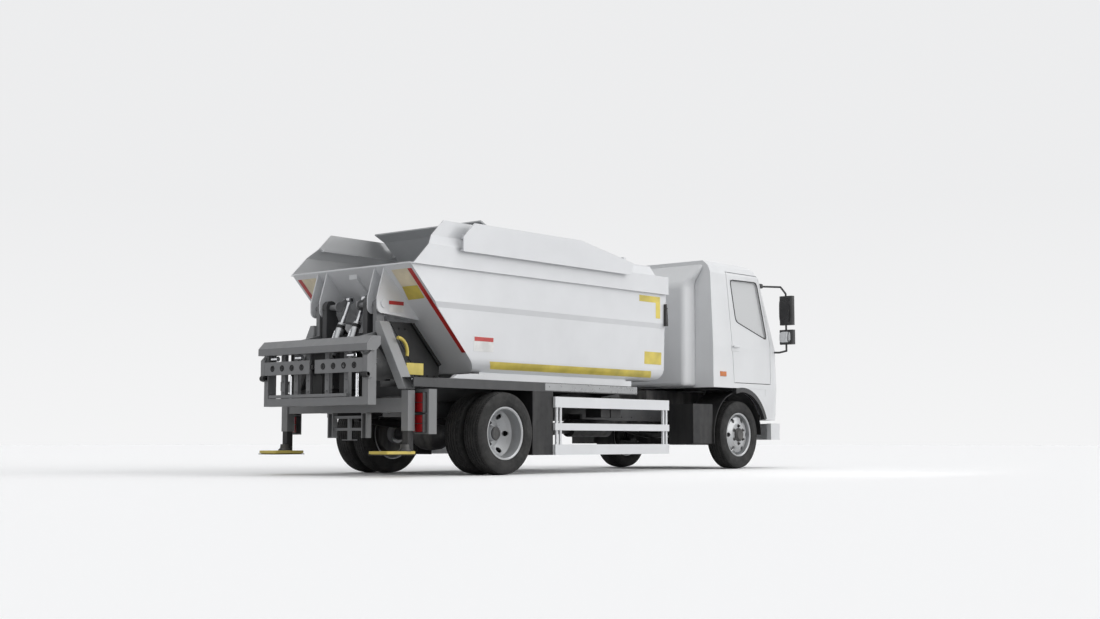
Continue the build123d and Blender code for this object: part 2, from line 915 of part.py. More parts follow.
with BuildPart() as lift_arms:
    bar((hinge_x, lever_y, hinge_z), (hinge_x, outer_ear_y + ear_gauge + 8, hinge_z), shaft_r)
    with BuildSketch(Plane.XZ.offset(-arm_y - arm_gauge / 2)):
        with BuildLine():
            Polyline(
                # x, z
                (hinge_x - 46, hinge_z), (hinge_x - 46, 1360), (beam_front_x, 1290),
                (beam_front_x, 1180), (hinge_x - 60, 1275), (hinge_x + 30, 1345),
                (hinge_x + 46, 1400),
                (hinge_x + 46, hinge_z), close=True,
            )
        make_face()
        with Locations((hinge_x, hinge_z)):
            Circle(46)
    extrude(amount=arm_gauge)
    with BuildSketch(Plane.XZ.offset(-lever_y - lever_gauge)):
        with Locations((hinge_x, hinge_z)):
            Circle(50)
        with Locations((lever_eye_x, lever_eye_z)):
            Circle(32)
        with Locations(
            Location(
                ((hinge_x + lever_eye_x) / 2, (hinge_z + lever_eye_z) / 2),
                lever_angle,
            )
        ):
            Rectangle(lever_reach, 62)
    extrude(amount=lever_gauge)
    mirror(about=Plane.XZ)
lift_arms.part.label = "lift_arms"
export_step(lift_arms.part, "parts/lift_arms.step")

# Lift frame: bevelled beam, side plates, bottom bar, posts, and the two bars with holes
post_y = (105 - frame_half, -390, -120, 150, 330, frame_half - 225)
post_rear_x = beam_front_x - 70
comb_rear_x = beam_front_x - 150
comb_centre_y = 370

with BuildPart() as lift_frame:
    side_shape(
        (
            # x, z
            (beam_rear_x, beam_low_z), (beam_rear_x, beam_top_z - 72), (beam_rear_x + 70, beam_top_z),
            (beam_front_x, beam_top_z), (beam_front_x, beam_low_z + 60),
            (beam_front_x - 60, beam_low_z),
        ),
        -beam_half,
        beam_half,
    )
    for s in (1, -1):
        block(
            (beam_front_x - 120, beam_front_x - 20),
            sorted((s * (frame_half - 60), s * frame_half)),
            (frame_bottom_z, beam_low_z + 20),
        )
        side_shape(
            (
                (comb_rear_x, comb_low_z - 30), (comb_rear_x, comb_top_z + 20),
                (beam_front_x - 90, beam_low_z + 10), (beam_front_x - 90, comb_low_z - 60),
            ),
            *sorted((s * (frame_half - 40), s * (frame_half + 20))),
        )
        bar(
            (comb_rear_x + 30, s * (frame_half + 18), comb_low_z - 35),
            (comb_rear_x + 30, s * (frame_half - 45), comb_low_z - 35),
            24,
        )
    block(
        (beam_front_x - 120, beam_front_x - 20),
        (-frame_half, frame_half),
        (frame_bottom_z, frame_bottom_z + 75),
    )
    for y in post_y:
        block((post_rear_x, beam_front_x - 30), (y - 30, y + 30), (frame_bottom_z, beam_low_z + 20))
    for s in (1, -1):
        centre_y = s * comb_centre_y
        with BuildSketch(Plane.YZ.offset(comb_rear_x)):
            with Locations((centre_y, (comb_low_z + comb_top_z) / 2)):
                Rectangle(frame_half - 80, comb_top_z - comb_low_z)
                with GridLocations(comb_hole_pitch, 1, 4, 1):
                    Circle(comb_hole_r, mode=Mode.SUBTRACT)
        extrude(amount=22)
        for y in (centre_y - 230, centre_y + 215):
            block(
                (comb_rear_x + 20, post_rear_x + 10),
                (y - 24, y + 24),
                ((comb_low_z + comb_top_z) / 2 - 30, (comb_low_z + comb_top_z) / 2 + 30),
            )
lift_frame.part.label = "lift_frame"
export_step(lift_frame.part, "parts/lift_frame.step")

# Lift cylinders: barrels on the cross shaft, rods to the levers
cylinder_angle = degrees(atan2(lever_eye_z - cylinder_foot_z, lever_eye_x - cylinder_foot_x))
cylinder_length = hypot(lever_eye_x - cylinder_foot_x, lever_eye_z - cylinder_foot_z)


def on_cylinder(distance, y):
    x, z = along_ram(cylinder_foot_x, cylinder_foot_z, cylinder_angle, distance)
    return (x, y, z)


with BuildPart() as lift_barrels:
    for y in (cylinder_y, -cylinder_y):
        bar(
            (cylinder_foot_x, y - eye_width / 2, cylinder_foot_z),
            (cylinder_foot_x, y + eye_width / 2, cylinder_foot_z),
            cross_shaft_r + 18,
        )
        bar(on_cylinder(30, y), on_cylinder(lift_barrel_length, y), lift_barrel_r)
        bar(on_cylinder(60, y), on_cylinder(lift_barrel_length + 1, y), lift_rod_r + 1, mode=Mode.SUBTRACT)
        bar(
            (cylinder_foot_x, y - eye_width, cylinder_foot_z),
            (cylinder_foot_x, y + eye_width, cylinder_foot_z),
            cross_shaft_r + shaft_play,
            mode=Mode.SUBTRACT,
        )
lift_barrels.part.label = "lift_barrels"
export_step(lift_barrels.part, "parts/lift_barrels.step")

lift_stroke = 226

with BuildPart() as lift_rods:
    for y in (cylinder_y, -cylinder_y):
        bar(on_cylinder(62 + lift_stroke, y), on_cylinder(cylinder_length - 10, y), lift_rod_r)
        bar(
            (lever_eye_x, y - eye_width / 2, lever_eye_z),
            (lever_eye_x, y + eye_width / 2, lever_eye_z),
            eye_r,
        )
        bar(
            (lever_eye_x, y - eye_width, lever_eye_z),
            (lever_eye_x, y + eye_width, lever_eye_z),
            18,
            mode=Mode.SUBTRACT,
        )
lift_rods.part.label = "lift_rods"
export_step(lift_rods.part, "parts/lift_rods.step")

# Tipping ram: barrel on its cross member, middle stage and rod
ram_angle = degrees(atan2(ram_head_z - ram_foot_z, ram_head_x - ram_foot_x))
ram_length = hypot(ram_head_x - ram_foot_x, ram_head_z - ram_foot_z)


def on_ram(distance):
    x, z = along_ram(ram_foot_x, ram_foot_z, ram_angle, distance)
    return (x, 0, z)


ram_mouth = ram_length - 75

with BuildPart() as tip_barrel:
    bar(on_ram(60), on_ram(ram_mouth), ram_barrel_r)
    bar((ram_foot_x, -55, ram_foot_z), (ram_foot_x, 55, ram_foot_z), 75)
    bar(on_ram(90), on_ram(ram_mouth + 1), ram_stage_r + ram_play, mode=Mode.SUBTRACT)
    bar((ram_foot_x, -60, ram_foot_z), (ram_foot_x, 60, ram_foot_z), 39, mode=Mode.SUBTRACT)
tip_barrel.part.label = "tip_barrel"
export_step(tip_barrel.part, "parts/tip_barrel.step")

with BuildPart() as tip_stage:
    bar(on_ram(92), on_ram(ram_mouth + 10), ram_stage_r)
    bar(on_ram(110), on_ram(ram_mouth + 11), ram_rod_r + ram_play, mode=Mode.SUBTRACT)
tip_stage.part.label = "tip_stage"
export_step(tip_stage.part, "parts/tip_stage.step")

with BuildPart() as tip_rod:
    bar(on_ram(112), on_ram(ram_length - 20), ram_rod_r)
    bar((ram_head_x, -38, ram_head_z), (ram_head_x, 38, ram_head_z), 38)
tip_rod.part.label = "tip_rod"
export_step(tip_rod.part, "parts/tip_rod.step")

# Rear cross beam with the stabilisers' housings, the underrun frame and the lamps' brackets
housing_inner = leg_size / 2 + leg_play
housing_outer = housing_inner + housing_wall
crossbeam_z = 600
underrun_x = leg_x - 30
lamp_x = rear_axle_x - 1062
lamp_low_y = 825
lamp_high_y = 968

with BuildPart() as rear_beam:
    for s in (1, -1):
        with BuildSketch(Plane.XY.offset(housing_bottom_z)):
            with Locations((leg_x, s * leg_y)):
                Rectangle(2 * housing_outer, 2 * housing_outer)
                Rectangle(2 * housing_inner, 2 * housing_inner, mode=Mode.SUBTRACT)
        extrude(amount=housing_top_z - housing_bottom_z)
        block(
            (leg_x + 20, rail_rear_x + 80),
            sorted((s * rail_outer_y, s * (rail_outer_y + 12))),
            (crossbeam_z, crossbeam_z + 130),
        )
    block(
        (leg_x - 30, leg_x + 30),
        (housing_outer - leg_y, leg_y - housing_outer),
        (crossbeam_z, crossbeam_z + 130),
    )
    for y in (150, -330):
        front_shape(
            (
                # y, z
                (y, 360), (y + 75, 360), (y + 75, crossbeam_z + 5), (y, crossbeam_z + 5),
            ),
            underrun_x,
            underrun_x + 60,
        )
        block(
            (underrun_x, underrun_x + 48), (y + 14, y + 61), (359, crossbeam_z - 8),
            mode=Mode.SUBTRACT,
        )
    for z in (545, 430):
        block((underrun_x + 20, underrun_x + 50), (-260, 155), (z, z + 26))
    block((underrun_x + 20, underrun_x + 50), (-70, -40), (345, 560))
    block((underrun_x - 15, underrun_x + 85), (-110, 0), (337, 345))
    for s in (1, -1):
        block(
            (lamp_x + 26, lamp_x + 36),
            sorted((s * (brace_foot_y + brace_foot_reach), s * 1000)),
            (395, 812),
        )
        block((lamp_x + 30, lamp_x + 130), sorted((s * 994, s * 1000)), (395, 812))
        block((lamp_x + 30, skirt_rear_x - 5), sorted((s * 820, s * 900)), (770, 812))
rear_beam.part.label = "rear_beam"
export_step(rear_beam.part, "parts/rear_beam.step")

# Sliding legs with their pads

for side, s in sides:
    with BuildPart() as leg:
        block(
            (leg_x - leg_size / 2, leg_x + leg_size / 2),
            (s * leg_y - leg_size / 2, s * leg_y + leg_size / 2),
            (pad_bottom_z + pad_thickness, 690),
        )
        side_shape(
            (
                (leg_x - 35, 308), (leg_x - 110, pad_bottom_z + pad_thickness),
                (leg_x + 20, pad_bottom_z + pad_thickness),
            ),
            s * leg_y - 6,
            s * leg_y + 6,
        )
    leg.part.label = f"stabiliser_leg_{side}"
    export_step(leg.part, f"parts/stabiliser_leg_{side}.step")

    pad_x = leg_x - 130
    pad_y = s * (leg_y - 70)
    with BuildPart() as pad:
        with BuildSketch(Plane.XY.offset(pad_bottom_z)):
            with Locations((pad_x, pad_y)):
                RectangleRounded(pad_length - 24, pad_width - 24, 20)
        extrude(amount=12)
        with BuildSketch(Plane.XY.offset(pad_bottom_z + 12)):
            with Locations((pad_x, pad_y)):
                RectangleRounded(pad_length, pad_width, 22)
        extrude(amount=pad_thickness - 12)
    pad.part.label = f"stabiliser_pad_{side}"
    export_step(pad.part, f"parts/stabiliser_pad_{side}.step")

# Rear lamps
with BuildPart() as rear_lamps:
    for low_z, high_z in ((600, 775), (415, 572)):
        block((lamp_x - 20, lamp_x + 26), (lamp_low_y, lamp_high_y), (low_z, high_z))
    mirror(about=Plane.XZ)
rear_lamps.part.label = "rear_lamps"
export_step(rear_lamps.part, "parts/rear_lamps.step")

# Side guards: three rails on two pairs of posts, both sides
guard_rear_x = rear_axle_x + 789
guard_front_x = rear_axle_x + 2756
guard_rails = (
    # low z, high z
    (672, 782),
    (440, 512),
    (190, 296),
)
guard_y = 985
guard_gauge = 30

for side, s in sides:
    with BuildPart() as guard:
        for low_z, high_z in guard_rails:
            block(
                (guard_rear_x, guard_front_x),
                sorted((s * (guard_y - guard_gauge), s * guard_y)),
                (low_z, high_z),
            )
        for x in (guard_rear_x + 25, guard_rear_x + 85, guard_front_x - 110, guard_front_x - 50):
            block(
                (x, x + 26),
                sorted((s * (guard_y - guard_gauge), s * (guard_y - 8))),
                (190, 782),
            )
        for x in (guard_rear_x + 300, guard_front_x - 700):
            block(
                (x, x + 60),
                sorted((s * (rail_outer_y), s * (guard_y - guard_gauge + 5))),
                (rail_bottom_z + 130, rail_bottom_z + 180),
            )
    guard.part.label = f"side_guard_{side}"
    export_step(guard.part, f"parts/side_guard_{side}.step")

# Splash panels fore of the rear wheels
flap_low_z = 190

with BuildPart() as splash_panels:
    block((splash_x, splash_x + 8), (480, skirt_y - sheet - 1), (flap_low_z, skirt_bottom_z + 60))
    block(
        (splash_x, guard_rear_x - 4),
        (skirt_y - 7, skirt_y + 1),
        (flap_low_z, skirt_bottom_z),
    )
    mirror(about=Plane.XZ)
splash_panels.part.label = "splash_panels"
export_step(splash_panels.part, "parts/splash_panels.step")

# Guards over the front wheels, with a closed corner behind each wheel
liner_inner_y = 560
liner_outer_y = cab_half - 70
liner_half_gauge = 5
liner_foot_z = 300
corner_y = cab_half - 92
corner_rear_x = front_axle_x - 900
corner_top_z = 760

with BuildPart() as mudguards:
    with BuildSketch(Plane.XZ.offset(-liner_outer_y)):
        with Locations((front_axle_x, hub_z)):
            Circle(arch_r + liner_half_gauge)
            Circle(arch_r - liner_half_gauge, mode=Mode.SUBTRACT)
            with Locations((0, -arch_r - 100)):
                Rectangle(3 * arch_r, 2 * arch_r + 200, mode=Mode.SUBTRACT)
    extrude(amount=liner_outer_y - liner_inner_y)
    block(
        (front_axle_x - arch_r - liner_half_gauge, front_axle_x - arch_r + liner_half_gauge),
        (liner_inner_y, liner_outer_y),
        (liner_foot_z, hub_z + 2),
    )
    block(
        (corner_rear_x, front_axle_x - arch_r),
        (corner_y - 8, corner_y),
        (liner_foot_z, corner_top_z),
    )
    block(
        (corner_rear_x, corner_rear_x + 8),
        (liner_inner_y, corner_y),
        (liner_foot_z, corner_top_z),
    )
    # Brackets from the rail to the corner and to the top of the arch
    block(
        (corner_rear_x + 200, corner_rear_x + 240),
        (rail_outer_y, corner_y - 3),
        (corner_top_z - 70, corner_top_z - 30),
    )
    block(
        (front_axle_x - 20, front_axle_x + 20),
        (rail_outer_y, liner_inner_y + 40),
        (rail_bottom_z + 130, corner_top_z),
    )
    block(
        (front_axle_x - 20, front_axle_x + 20),
        (liner_inner_y, liner_inner_y + 40),
        (corner_top_z - 20, hub_z + arch_r),
    )
    mirror(about=Plane.XZ)
mudguards.part.label = "mudguards"
export_step(mudguards.part, "parts/mudguards.step")

# Engine as one plain block, between the rails under the cab
with BuildPart() as engine:
    block((engine_rear_x, rear_axle_x + 4470), (-270, 270), (450, 925))
    # Feet on the rails' webs
    for x in (engine_rear_x + 150, engine_rear_x + 900):
        block((x - 40, x + 40), (-web, web), (rail_bottom_z + 50, rail_bottom_z + 120))
engine.part.label = "engine_block"
export_step(engine.part, "parts/engine_block.step")

# Exhaust: silencer and pipe on the right, inside the guard
with BuildPart() as exhaust:
    bar((rear_axle_x + 1500, -560, 470), (rear_axle_x + 2150, -560, 470), 95)
    bar((rear_axle_x + 2140, -560, 470), (rear_axle_x + 3300, -330, 520), 32)
    bar((rear_axle_x + 1200, -560, 420), (rear_axle_x + 1510, -560, 450), 32)
    block((rear_axle_x + 1700, rear_axle_x + 1740), (-560, -rail_outer_y), (540, 620))
exhaust.part.label = "exhaust"
export_step(exhaust.part, "parts/exhaust.step")

# Fuel tank on the left, and the boxes on the right behind the guard
with BuildPart() as tank:
    with BuildSketch(Plane.YZ.offset(rear_axle_x + 1250)):
        with Locations((640, 560)):
            RectangleRounded(400, 380, 70)
    extrude(amount=760)
    for x in (rear_axle_x + 1350, rear_axle_x + 1850):
        block((x, x + 50), (rail_outer_y, 460), (640, 720))
tank.part.label = "fuel_tank"
export_step(tank.part, "parts/fuel_tank.step")

with BuildPart() as side_boxes:
    for x, length in ((rear_axle_x + 1640, 150), (rear_axle_x + 1810, 170)):
        block((x, x + length), (-900, -690), (580, 800))
        block((x + 40, x + length - 40), (-700, -rail_outer_y), (700, 735))
side_boxes.part.label = "side_boxes"
export_step(side_boxes.part, "parts/side_boxes.step")

# Bumper across the frame's front end, with its horns
with BuildPart() as bumper:
    with BuildSketch(Plane.XY.offset(345)):
        with BuildLine():
            outer = Polyline(
                (rear_axle_x + 4880, -985), (rear_axle_x + 5080, -985),
                (rear_axle_x + 5235, -800), (rear_axle_x + 5250, 0),
                (rear_axle_x + 5235, 800), (rear_axle_x + 5080, 985),
                (rear_axle_x + 4880, 985),
            )
            Polyline(
                (rear_axle_x + 4880, 985), (rear_axle_x + 4880, 925),
                (rear_axle_x + 5055, 925), (rear_axle_x + 5170, 780),
                (rear_axle_x + 5185, 0), (rear_axle_x + 5170, -780),
                (rear_axle_x + 5055, -925), (rear_axle_x + 4880, -925),
                (rear_axle_x + 4880, -985),
            )
        make_face()
    extrude(amount=bumper_top_z - 345)
    for y in (-rail_outer_y, rail_outer_y - 60):
        block((rail_front_x - 120, rear_axle_x + 5180), (y, y + 60), (440, 530))
        block((rail_front_x - 120, rail_front_x - 20), (y, y + 60), (440, rail_bottom_z))
bumper.part.label = "bumper"
export_step(bumper.part, "parts/bumper.step")

# Cab shell: plan sections lofted from the skirt to the roof, hollow, then parted into panels
cab_sections = (
    # z, front x from the rear axle, half width, corner radius
    (cab_skirt_z, 5175, 985, 270),
    (cab_floor_z, 5200, cab_half, 290),
    (1440, 5175, cab_half, 290),
    (2310, 4830, 965, 230),
    (2400, 4740, 930, 190),
    (cab_roof_z, 4600, 860, 150),
)


def cab_plan(z, rear, front, half, corner):
    """Plan of the cab at one height: square at the rear, round at the front corners."""
    with BuildSketch(Plane.XY.offset(z)) as plan:
        with BuildLine():
            Polyline((front - corner, half), (rear, half), (rear, -half), (front - corner, -half))
            round_corner((front - corner, corner - half), corner, -90, 0)
            Line((front, corner - half), (front, half - corner))
            round_corner((front - corner, half - corner), corner, 0, 90)
        make_face()
    return plan.sketch.face()


def cab_form(rear, inset, sections):
    """Cab shape lofted through its plans, moved in by the inset."""
    plans = [
        cab_plan(z, rear, rear_axle_x + front - inset, half - inset, corner - inset)
        for z, front, half, corner in sections
    ]
    with BuildPart() as form:
        loft(plans, ruled=True)
    return form.part


low, *middle, top = cab_sections
inner_sections = (
    (low[0] - 1, *low[1:]),
    *middle,
    (top[0] - cab_wall, *top[1:]),
)
cab_outer = cab_form(cab_rear_x, 0, cab_sections)
cab_inner = cab_form(cab_rear_x + 2 * cab_wall, cab_wall, inner_sections)

door_outline = (
    # x, z
    (door_rear_low_x, door_low_z), (door_front_x, door_low_z), (door_front_x, 1530),
    (rear_axle_x + 4640, door_top_z), (door_rear_top_x, door_top_z),
)
window_outline = (
    (rear_axle_x + 4030, 2250), (rear_axle_x + 4118, 1755),
    (rear_axle_x + 4785, 1564), (rear_axle_x + 4610, 2260),
)


def door_prism(grow, mode):
    """Door outline seen from the side, made larger all round, through the left wall."""
    with BuildSketch(Plane.XZ.offset(-cab_half - 20)) as face:
        with BuildLine():
            Polyline(*door_outline, close=True)
        make_face()
        if grow:
            offset(amount=grow, kind=Kind.INTERSECTION)
    extrude(face.sketch, amount=cab_half + 20 - 800, mode=mode)


def door_opening(s):
    """Door outline with its gap all round, through the wall on one side."""
    with BuildPart() as opening:
        door_prism(door_gap, Mode.ADD)
        if s < 0:
            mirror(about=Plane.XZ, mode=Mode.REPLACE)
    return opening.part


def side_pane():
    """Cab wall inside the left window's outline."""
    with BuildPart() as pane:
        add(cab_outer)
        add(cab_inner, mode=Mode.SUBTRACT)
        side_shape(window_outline, 800, cab_half + 20, mode=Mode.INTERSECT)
    return pane.part


grille_z = 1105
grille_width = 960
grille_height = 200
lamp_place = (600, 700)
lamp_size = (190, 130)

with BuildPart() as cab_shell:
    add(cab_outer)
    add(cab_inner, mode=Mode.SUBTRACT)
    # Under the floor only the front skirt stays
    side_shape(
        (
            (cab_rear_x - 10, cab_floor_z), (cab_rear_x - 10, cab_skirt_z - 10),
            (front_axle_x + arch_r, cab_skirt_z - 10), (front_axle_x + arch_r, cab_floor_z),
        ),
        -cab_half - 10,
        cab_half + 10,
        mode=Mode.SUBTRACT,
    )
    with BuildSketch(Plane.XZ.offset(-cab_half - 10)):
        with Locations((front_axle_x, hub_z)):
            Circle(arch_trim_r + 0.3)
    extrude(amount=2 * cab_half + 20, mode=Mode.SUBTRACT)
    for side, s in sides:
        add(door_opening(s), mode=Mode.SUBTRACT)
        for z in door_hinge_z:
            bar(
                (door_hinge_x, s * door_hinge_y, z - 32),
                (door_hinge_x, s * door_hinge_y, z + 32),
                door_knuckle_r + shaft_play,
                mode=Mode.SUBTRACT,
            )
    # Headlamp pockets
    for s in (1, -1):
        with BuildSketch(Plane.YZ.offset(rear_axle_x + 5100)):
            with Locations((s * lamp_place[0], lamp_place[1])):
                RectangleRounded(lamp_size[0] + 2, lamp_size[1] + 2, 31)
        extrude(amount=200, mode=Mode.SUBTRACT)
    with BuildSketch(Plane.YZ.offset(rear_axle_x + 5100)):
        with Locations((0, grille_z)):
            RectangleRounded(grille_width + 2, grille_height + 2, 41)
    extrude(amount=200, mode=Mode.SUBTRACT)
    # Windscreen opening
    screen = (
        # y, z
        (-800, 1500), (800, 1500), (720, 2265), (-720, 2265),
    )
    front_shape(screen, rear_axle_x + 4700, rear_axle_x + 5300, mode=Mode.SUBTRACT)
    # Recess pressed into the rear wall
    side_shape(
        (
            (cab_rear_x - 1, cab_floor_z - 1), (cab_rear_x + 55, cab_floor_z - 1),
            (cab_rear_x + 55, 2160), (cab_rear_x - 1, 2330),
        ),
        -700,
        700,
        mode=Mode.SUBTRACT,
    )

roof_split_z = 2345
front_split_z = 1470
split_half = cab_half + 100
front_split_x = door_front_x + door_gap + 6

with BuildPart() as cab_roof:
    add(cab_shell.part)
    block(
        (cab_rear_x - 10, rear_axle_x + 5300), (-split_half, split_half), (roof_split_z, 2600),
        mode=Mode.INTERSECT,
    )
cab_roof.part.label = "cab_roof"
export_step(cab_roof.part, "parts/cab_roof.step")

with BuildPart() as cab_front:
    add(cab_shell.part)
    block(
        (front_split_x, rear_axle_x + 5300), (-split_half, split_half), (500, front_split_z),
        mode=Mode.INTERSECT,
    )
cab_front.part.label = "cab_front"
export_step(cab_front.part, "parts/cab_front.step")

with BuildPart() as cab_body:
    add(cab_shell.part)
    block(
        (cab_rear_x - 10, rear_axle_x + 5300), (-split_half, split_half), (roof_split_z, 2600),
        mode=Mode.SUBTRACT,
    )
    block(
        (front_split_x, rear_axle_x + 5300), (-split_half, split_half), (500, front_split_z),
        mode=Mode.SUBTRACT,
    )
cab_body.part.label = "cab_body"
export_step(cab_body.part, "parts/cab_body.step")

for side, s in sides:
    with BuildPart() as door:
        add(cab_outer)
        add(cab_inner, mode=Mode.SUBTRACT)
        door_prism(0, Mode.INTERSECT)
        side_shape(window_outline, 800, cab_half + 20, mode=Mode.SUBTRACT)
        for z in door_hinge_z:
            bar(
                (door_hinge_x, door_hinge_y, z - 30),
                (door_hinge_x, door_hinge_y, z + 30),
                door_knuckle_r,
            )
            block(
                (door_front_x - 20, door_hinge_x - 3),
                (door_hinge_y - 8, door_hinge_y + 3),
                (z - 28, z + 28),
            )
        if s < 0:
            mirror(about=Plane.XZ, mode=Mode.REPLACE)
    door.part.label = f"door_{side}"
    export_step(door.part, f"parts/door_{side}.step")

    with BuildPart() as glass:
        add(side_pane())
        # Only the middle of the wall's depth is glass
        front_shape(
            (
                (cab_half - 20, 1400), (cab_half - 20, 1440), (965 - 20, 2310),
                (965 - 28, 2310), (cab_half - 28, 1440), (cab_half - 28, 1400),
            ),
            rear_axle_x + 3900,
            rear_axle_x + 4900,
            mode=Mode.INTERSECT,
        )
        if s < 0:
            mirror(about=Plane.XZ, mode=Mode.REPLACE)
    glass.part.label = f"door_glass_{side}"
    export_step(glass.part, f"parts/door_glass_{side}.step")

# Windscreen: the same front, thin and set back in its opening
screen_sections = cab_sections[2:4]
(low_z, *low_plan), (high_z, *high_plan) = screen_sections
longer_sections = ((low_z - 1, *low_plan), (high_z + 1, *high_plan))
with BuildPart() as windscreen:
    add(cab_form(rear_axle_x + 4200, 20, screen_sections))
    add(cab_form(rear_axle_x + 4199, 28, longer_sections), mode=Mode.SUBTRACT)
    front_shape(screen, rear_axle_x + 4700, rear_axle_x + 5300, mode=Mode.INTERSECT)
windscreen.part.label = "windscreen"
export_step(windscreen.part, "parts/windscreen.step")

# Cab floor with its raised middle over the engine, and the tilt brackets under its front end
hump_half = 290
hump_top_z = 1150
hump_front_x = rear_axle_x + 4650
hump_wall = 30
mount_beam_z = cab_floor_z - 58
lug_y = (tilt_plate_y[0] + tilt_plate_gauge + tilt_plate_y[1]) / 2
lug_half = 14

with BuildPart() as cab_floor:
    block(
        (cab_rear_x + 2 * cab_wall, rear_axle_x + 4800),
        (-cab_half + cab_wall, cab_half - cab_wall),
        (cab_floor_z, cab_floor_z + cab_floor_thickness),
    )
    block((cab_rear_x + 2 * cab_wall, hump_front_x), (-hump_half, hump_half), (cab_floor_z, hump_top_z))
    block(
        (cab_rear_x + 2 * cab_wall - 1, hump_front_x - hump_wall),
        (hump_wall - hump_half, hump_half - hump_wall),
        (cab_floor_z - 1, hump_top_z - hump_wall),
        mode=Mode.SUBTRACT,
    )
    for y in (lug_y, -lug_y):
        block(
            (rear_axle_x + 4500, rear_axle_x + 5144), (y - 30, y + 30), (mount_beam_z, cab_floor_z),
        )
        side_shape(
            (
                (tilt_x - 25, tilt_z), (tilt_x - 60, mount_beam_z),
                (tilt_x + 40, mount_beam_z), (tilt_x + 25, tilt_z),
            ),
            y - lug_half,
            y + lug_half,
        )
        bar((tilt_x, y - lug_half, tilt_z), (tilt_x, y + lug_half, tilt_z), 25)
        bar(
            (tilt_x, y - 30, tilt_z), (tilt_x, y + 30, tilt_z),
            tilt_pin_r + shaft_play, mode=Mode.SUBTRACT,
        )
cab_floor.part.label = "cab_floor"
export_step(cab_floor.part, "parts/cab_floor.step")

# Trims round the front wheel arches
with BuildPart() as cab_trim:
    with BuildSketch(Plane.XZ.offset(-cab_half - 4)):
        with Locations((front_axle_x, hub_z)):
            Circle(arch_trim_r)
            Circle(arch_r, mode=Mode.SUBTRACT)
            with Locations((-arch_trim_r - 140, 0), (0, 190 - arch_trim_r)):
                Rectangle(2 * arch_trim_r, 2 * arch_trim_r, mode=Mode.SUBTRACT)
    extrude(amount=cab_wall - 2)
    mirror(about=Plane.XZ)
cab_trim.part.label = "cab_trim"
export_step(cab_trim.part, "parts/cab_trim.step")

# Seats: driver's and a double for the crew
with BuildPart() as seats:
    for low_y, high_y in ((320, 800), (-870, 60)):
        block((rear_axle_x + 3790, rear_axle_x + 4290), (low_y, high_y), (1180, 1310))
        side_shape(
            (
                (rear_axle_x + 3790, 1300), (rear_axle_x + 3900, 1300),
                (rear_axle_x + 3850, 1900), (rear_axle_x + 3760, 1900),
            ),
            low_y,
            high_y,
        )
        base_y = (low_y, high_y) if low_y > 0 else (low_y, -hump_half - 20)
        block(
            (rear_axle_x + 3830, rear_axle_x + 4250),
            (base_y[0] + 30, base_y[1] - 30),
            (cab_floor_z + cab_floor_thickness, 1180),
        )
seats.part.label = "seats"
export_step(seats.part, "parts/seats.step")

# Dash and steering wheel
with BuildPart() as dashboard:
    side_shape(
        (
            (rear_axle_x + 4740, 1150), (rear_axle_x + 4700, 1400), (rear_axle_x + 4780, 1480),
            (rear_axle_x + 5180, 1480), (rear_axle_x + 5180, 1150),
        ),
        -780,
        780,
    )
    add(cab_form(cab_rear_x, cab_wall + 0.3, inner_sections), mode=Mode.INTERSECT)
    wheel_plane = Plane(origin=(rear_axle_x + 4560, 500, 1500), z_dir=(-0.62, 0, 0.78))
    bar((rear_axle_x + 4560, 500, 1500), (rear_axle_x + 4720, 500, 1300), 26)
    with BuildSketch(wheel_plane):
        Circle(210)
        Circle(180, mode=Mode.SUBTRACT)
        Rectangle(370, 34)
        Circle(55)
    extrude(amount=24)
dashboard.part.label = "dashboard"
export_step(dashboard.part, "parts/dashboard.step")

# Headlamps in the front skirt's corners
with BuildPart() as headlamps:
    for s in (1, -1):
        with BuildSketch(Plane.YZ.offset(rear_axle_x + 5142)):
            with Locations((s * lamp_place[0], lamp_place[1])):
                RectangleRounded(lamp_size[0], lamp_size[1], 30)
        extrude(amount=50)
headlamps.part.label = "headlamps"
export_step(headlamps.part, "parts/headlamps.step")

# Grille: rounded frame with its slats, set in the front panel
with BuildPart() as grille:
    with BuildSketch(Plane.YZ.offset(rear_axle_x + 5154)):
        with Locations((0, grille_z)):
            RectangleRounded(grille_width, grille_height, 40)
            RectangleRounded(grille_width - 50, grille_height - 50, 20, mode=Mode.SUBTRACT)
            with GridLocations(1, 46, 1, 3):
                Rectangle(grille_width - 40, 18)
            Rectangle(26, grille_height - 40)
    extrude(amount=34)
grille.part.label = "grille"
export_step(grille.part, "parts/grille.step")

# Mirrors: bent tube off the pillar, tall and wide-view housings, lower bracket
mirror_x = rear_axle_x + 5060
mirror_y = 1110

with BuildPart() as mirrors:
    path_points = (
        (rear_axle_x + 4740, 910, 2230), (rear_axle_x + 4990, 1080, 2230),
        (mirror_x, mirror_y, 2150), (mirror_x, mirror_y, 1440),
        (rear_axle_x + 5020, 1030, 1420), (rear_axle_x + 4960, 970, 1420),
    )
    for start, end in zip(path_points, path_points[1:]):
        bar(start, end, 12)
    for point in path_points[1:-1]:
        with Locations(point):
            Sphere(12)
    with BuildSketch(Plane.XY.offset(1760)):
        with Locations((mirror_x + 10, mirror_y + 10)):
            RectangleRounded(80, 190, 30)
    extrude(amount=360)
    with BuildSketch(Plane.XY.offset(1520)):
        with Locations((mirror_x + 10, mirror_y + 10)):
            RectangleRounded(80, 200, 30)
    extrude(amount=180)
    mirror(about=Plane.XZ)
    add(cab_outer, mode=Mode.SUBTRACT)
mirrors.part.label = "mirrors"
export_step(mirrors.part, "parts/mirrors.step")
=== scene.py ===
from math import cos, exp, pi, radians, sin

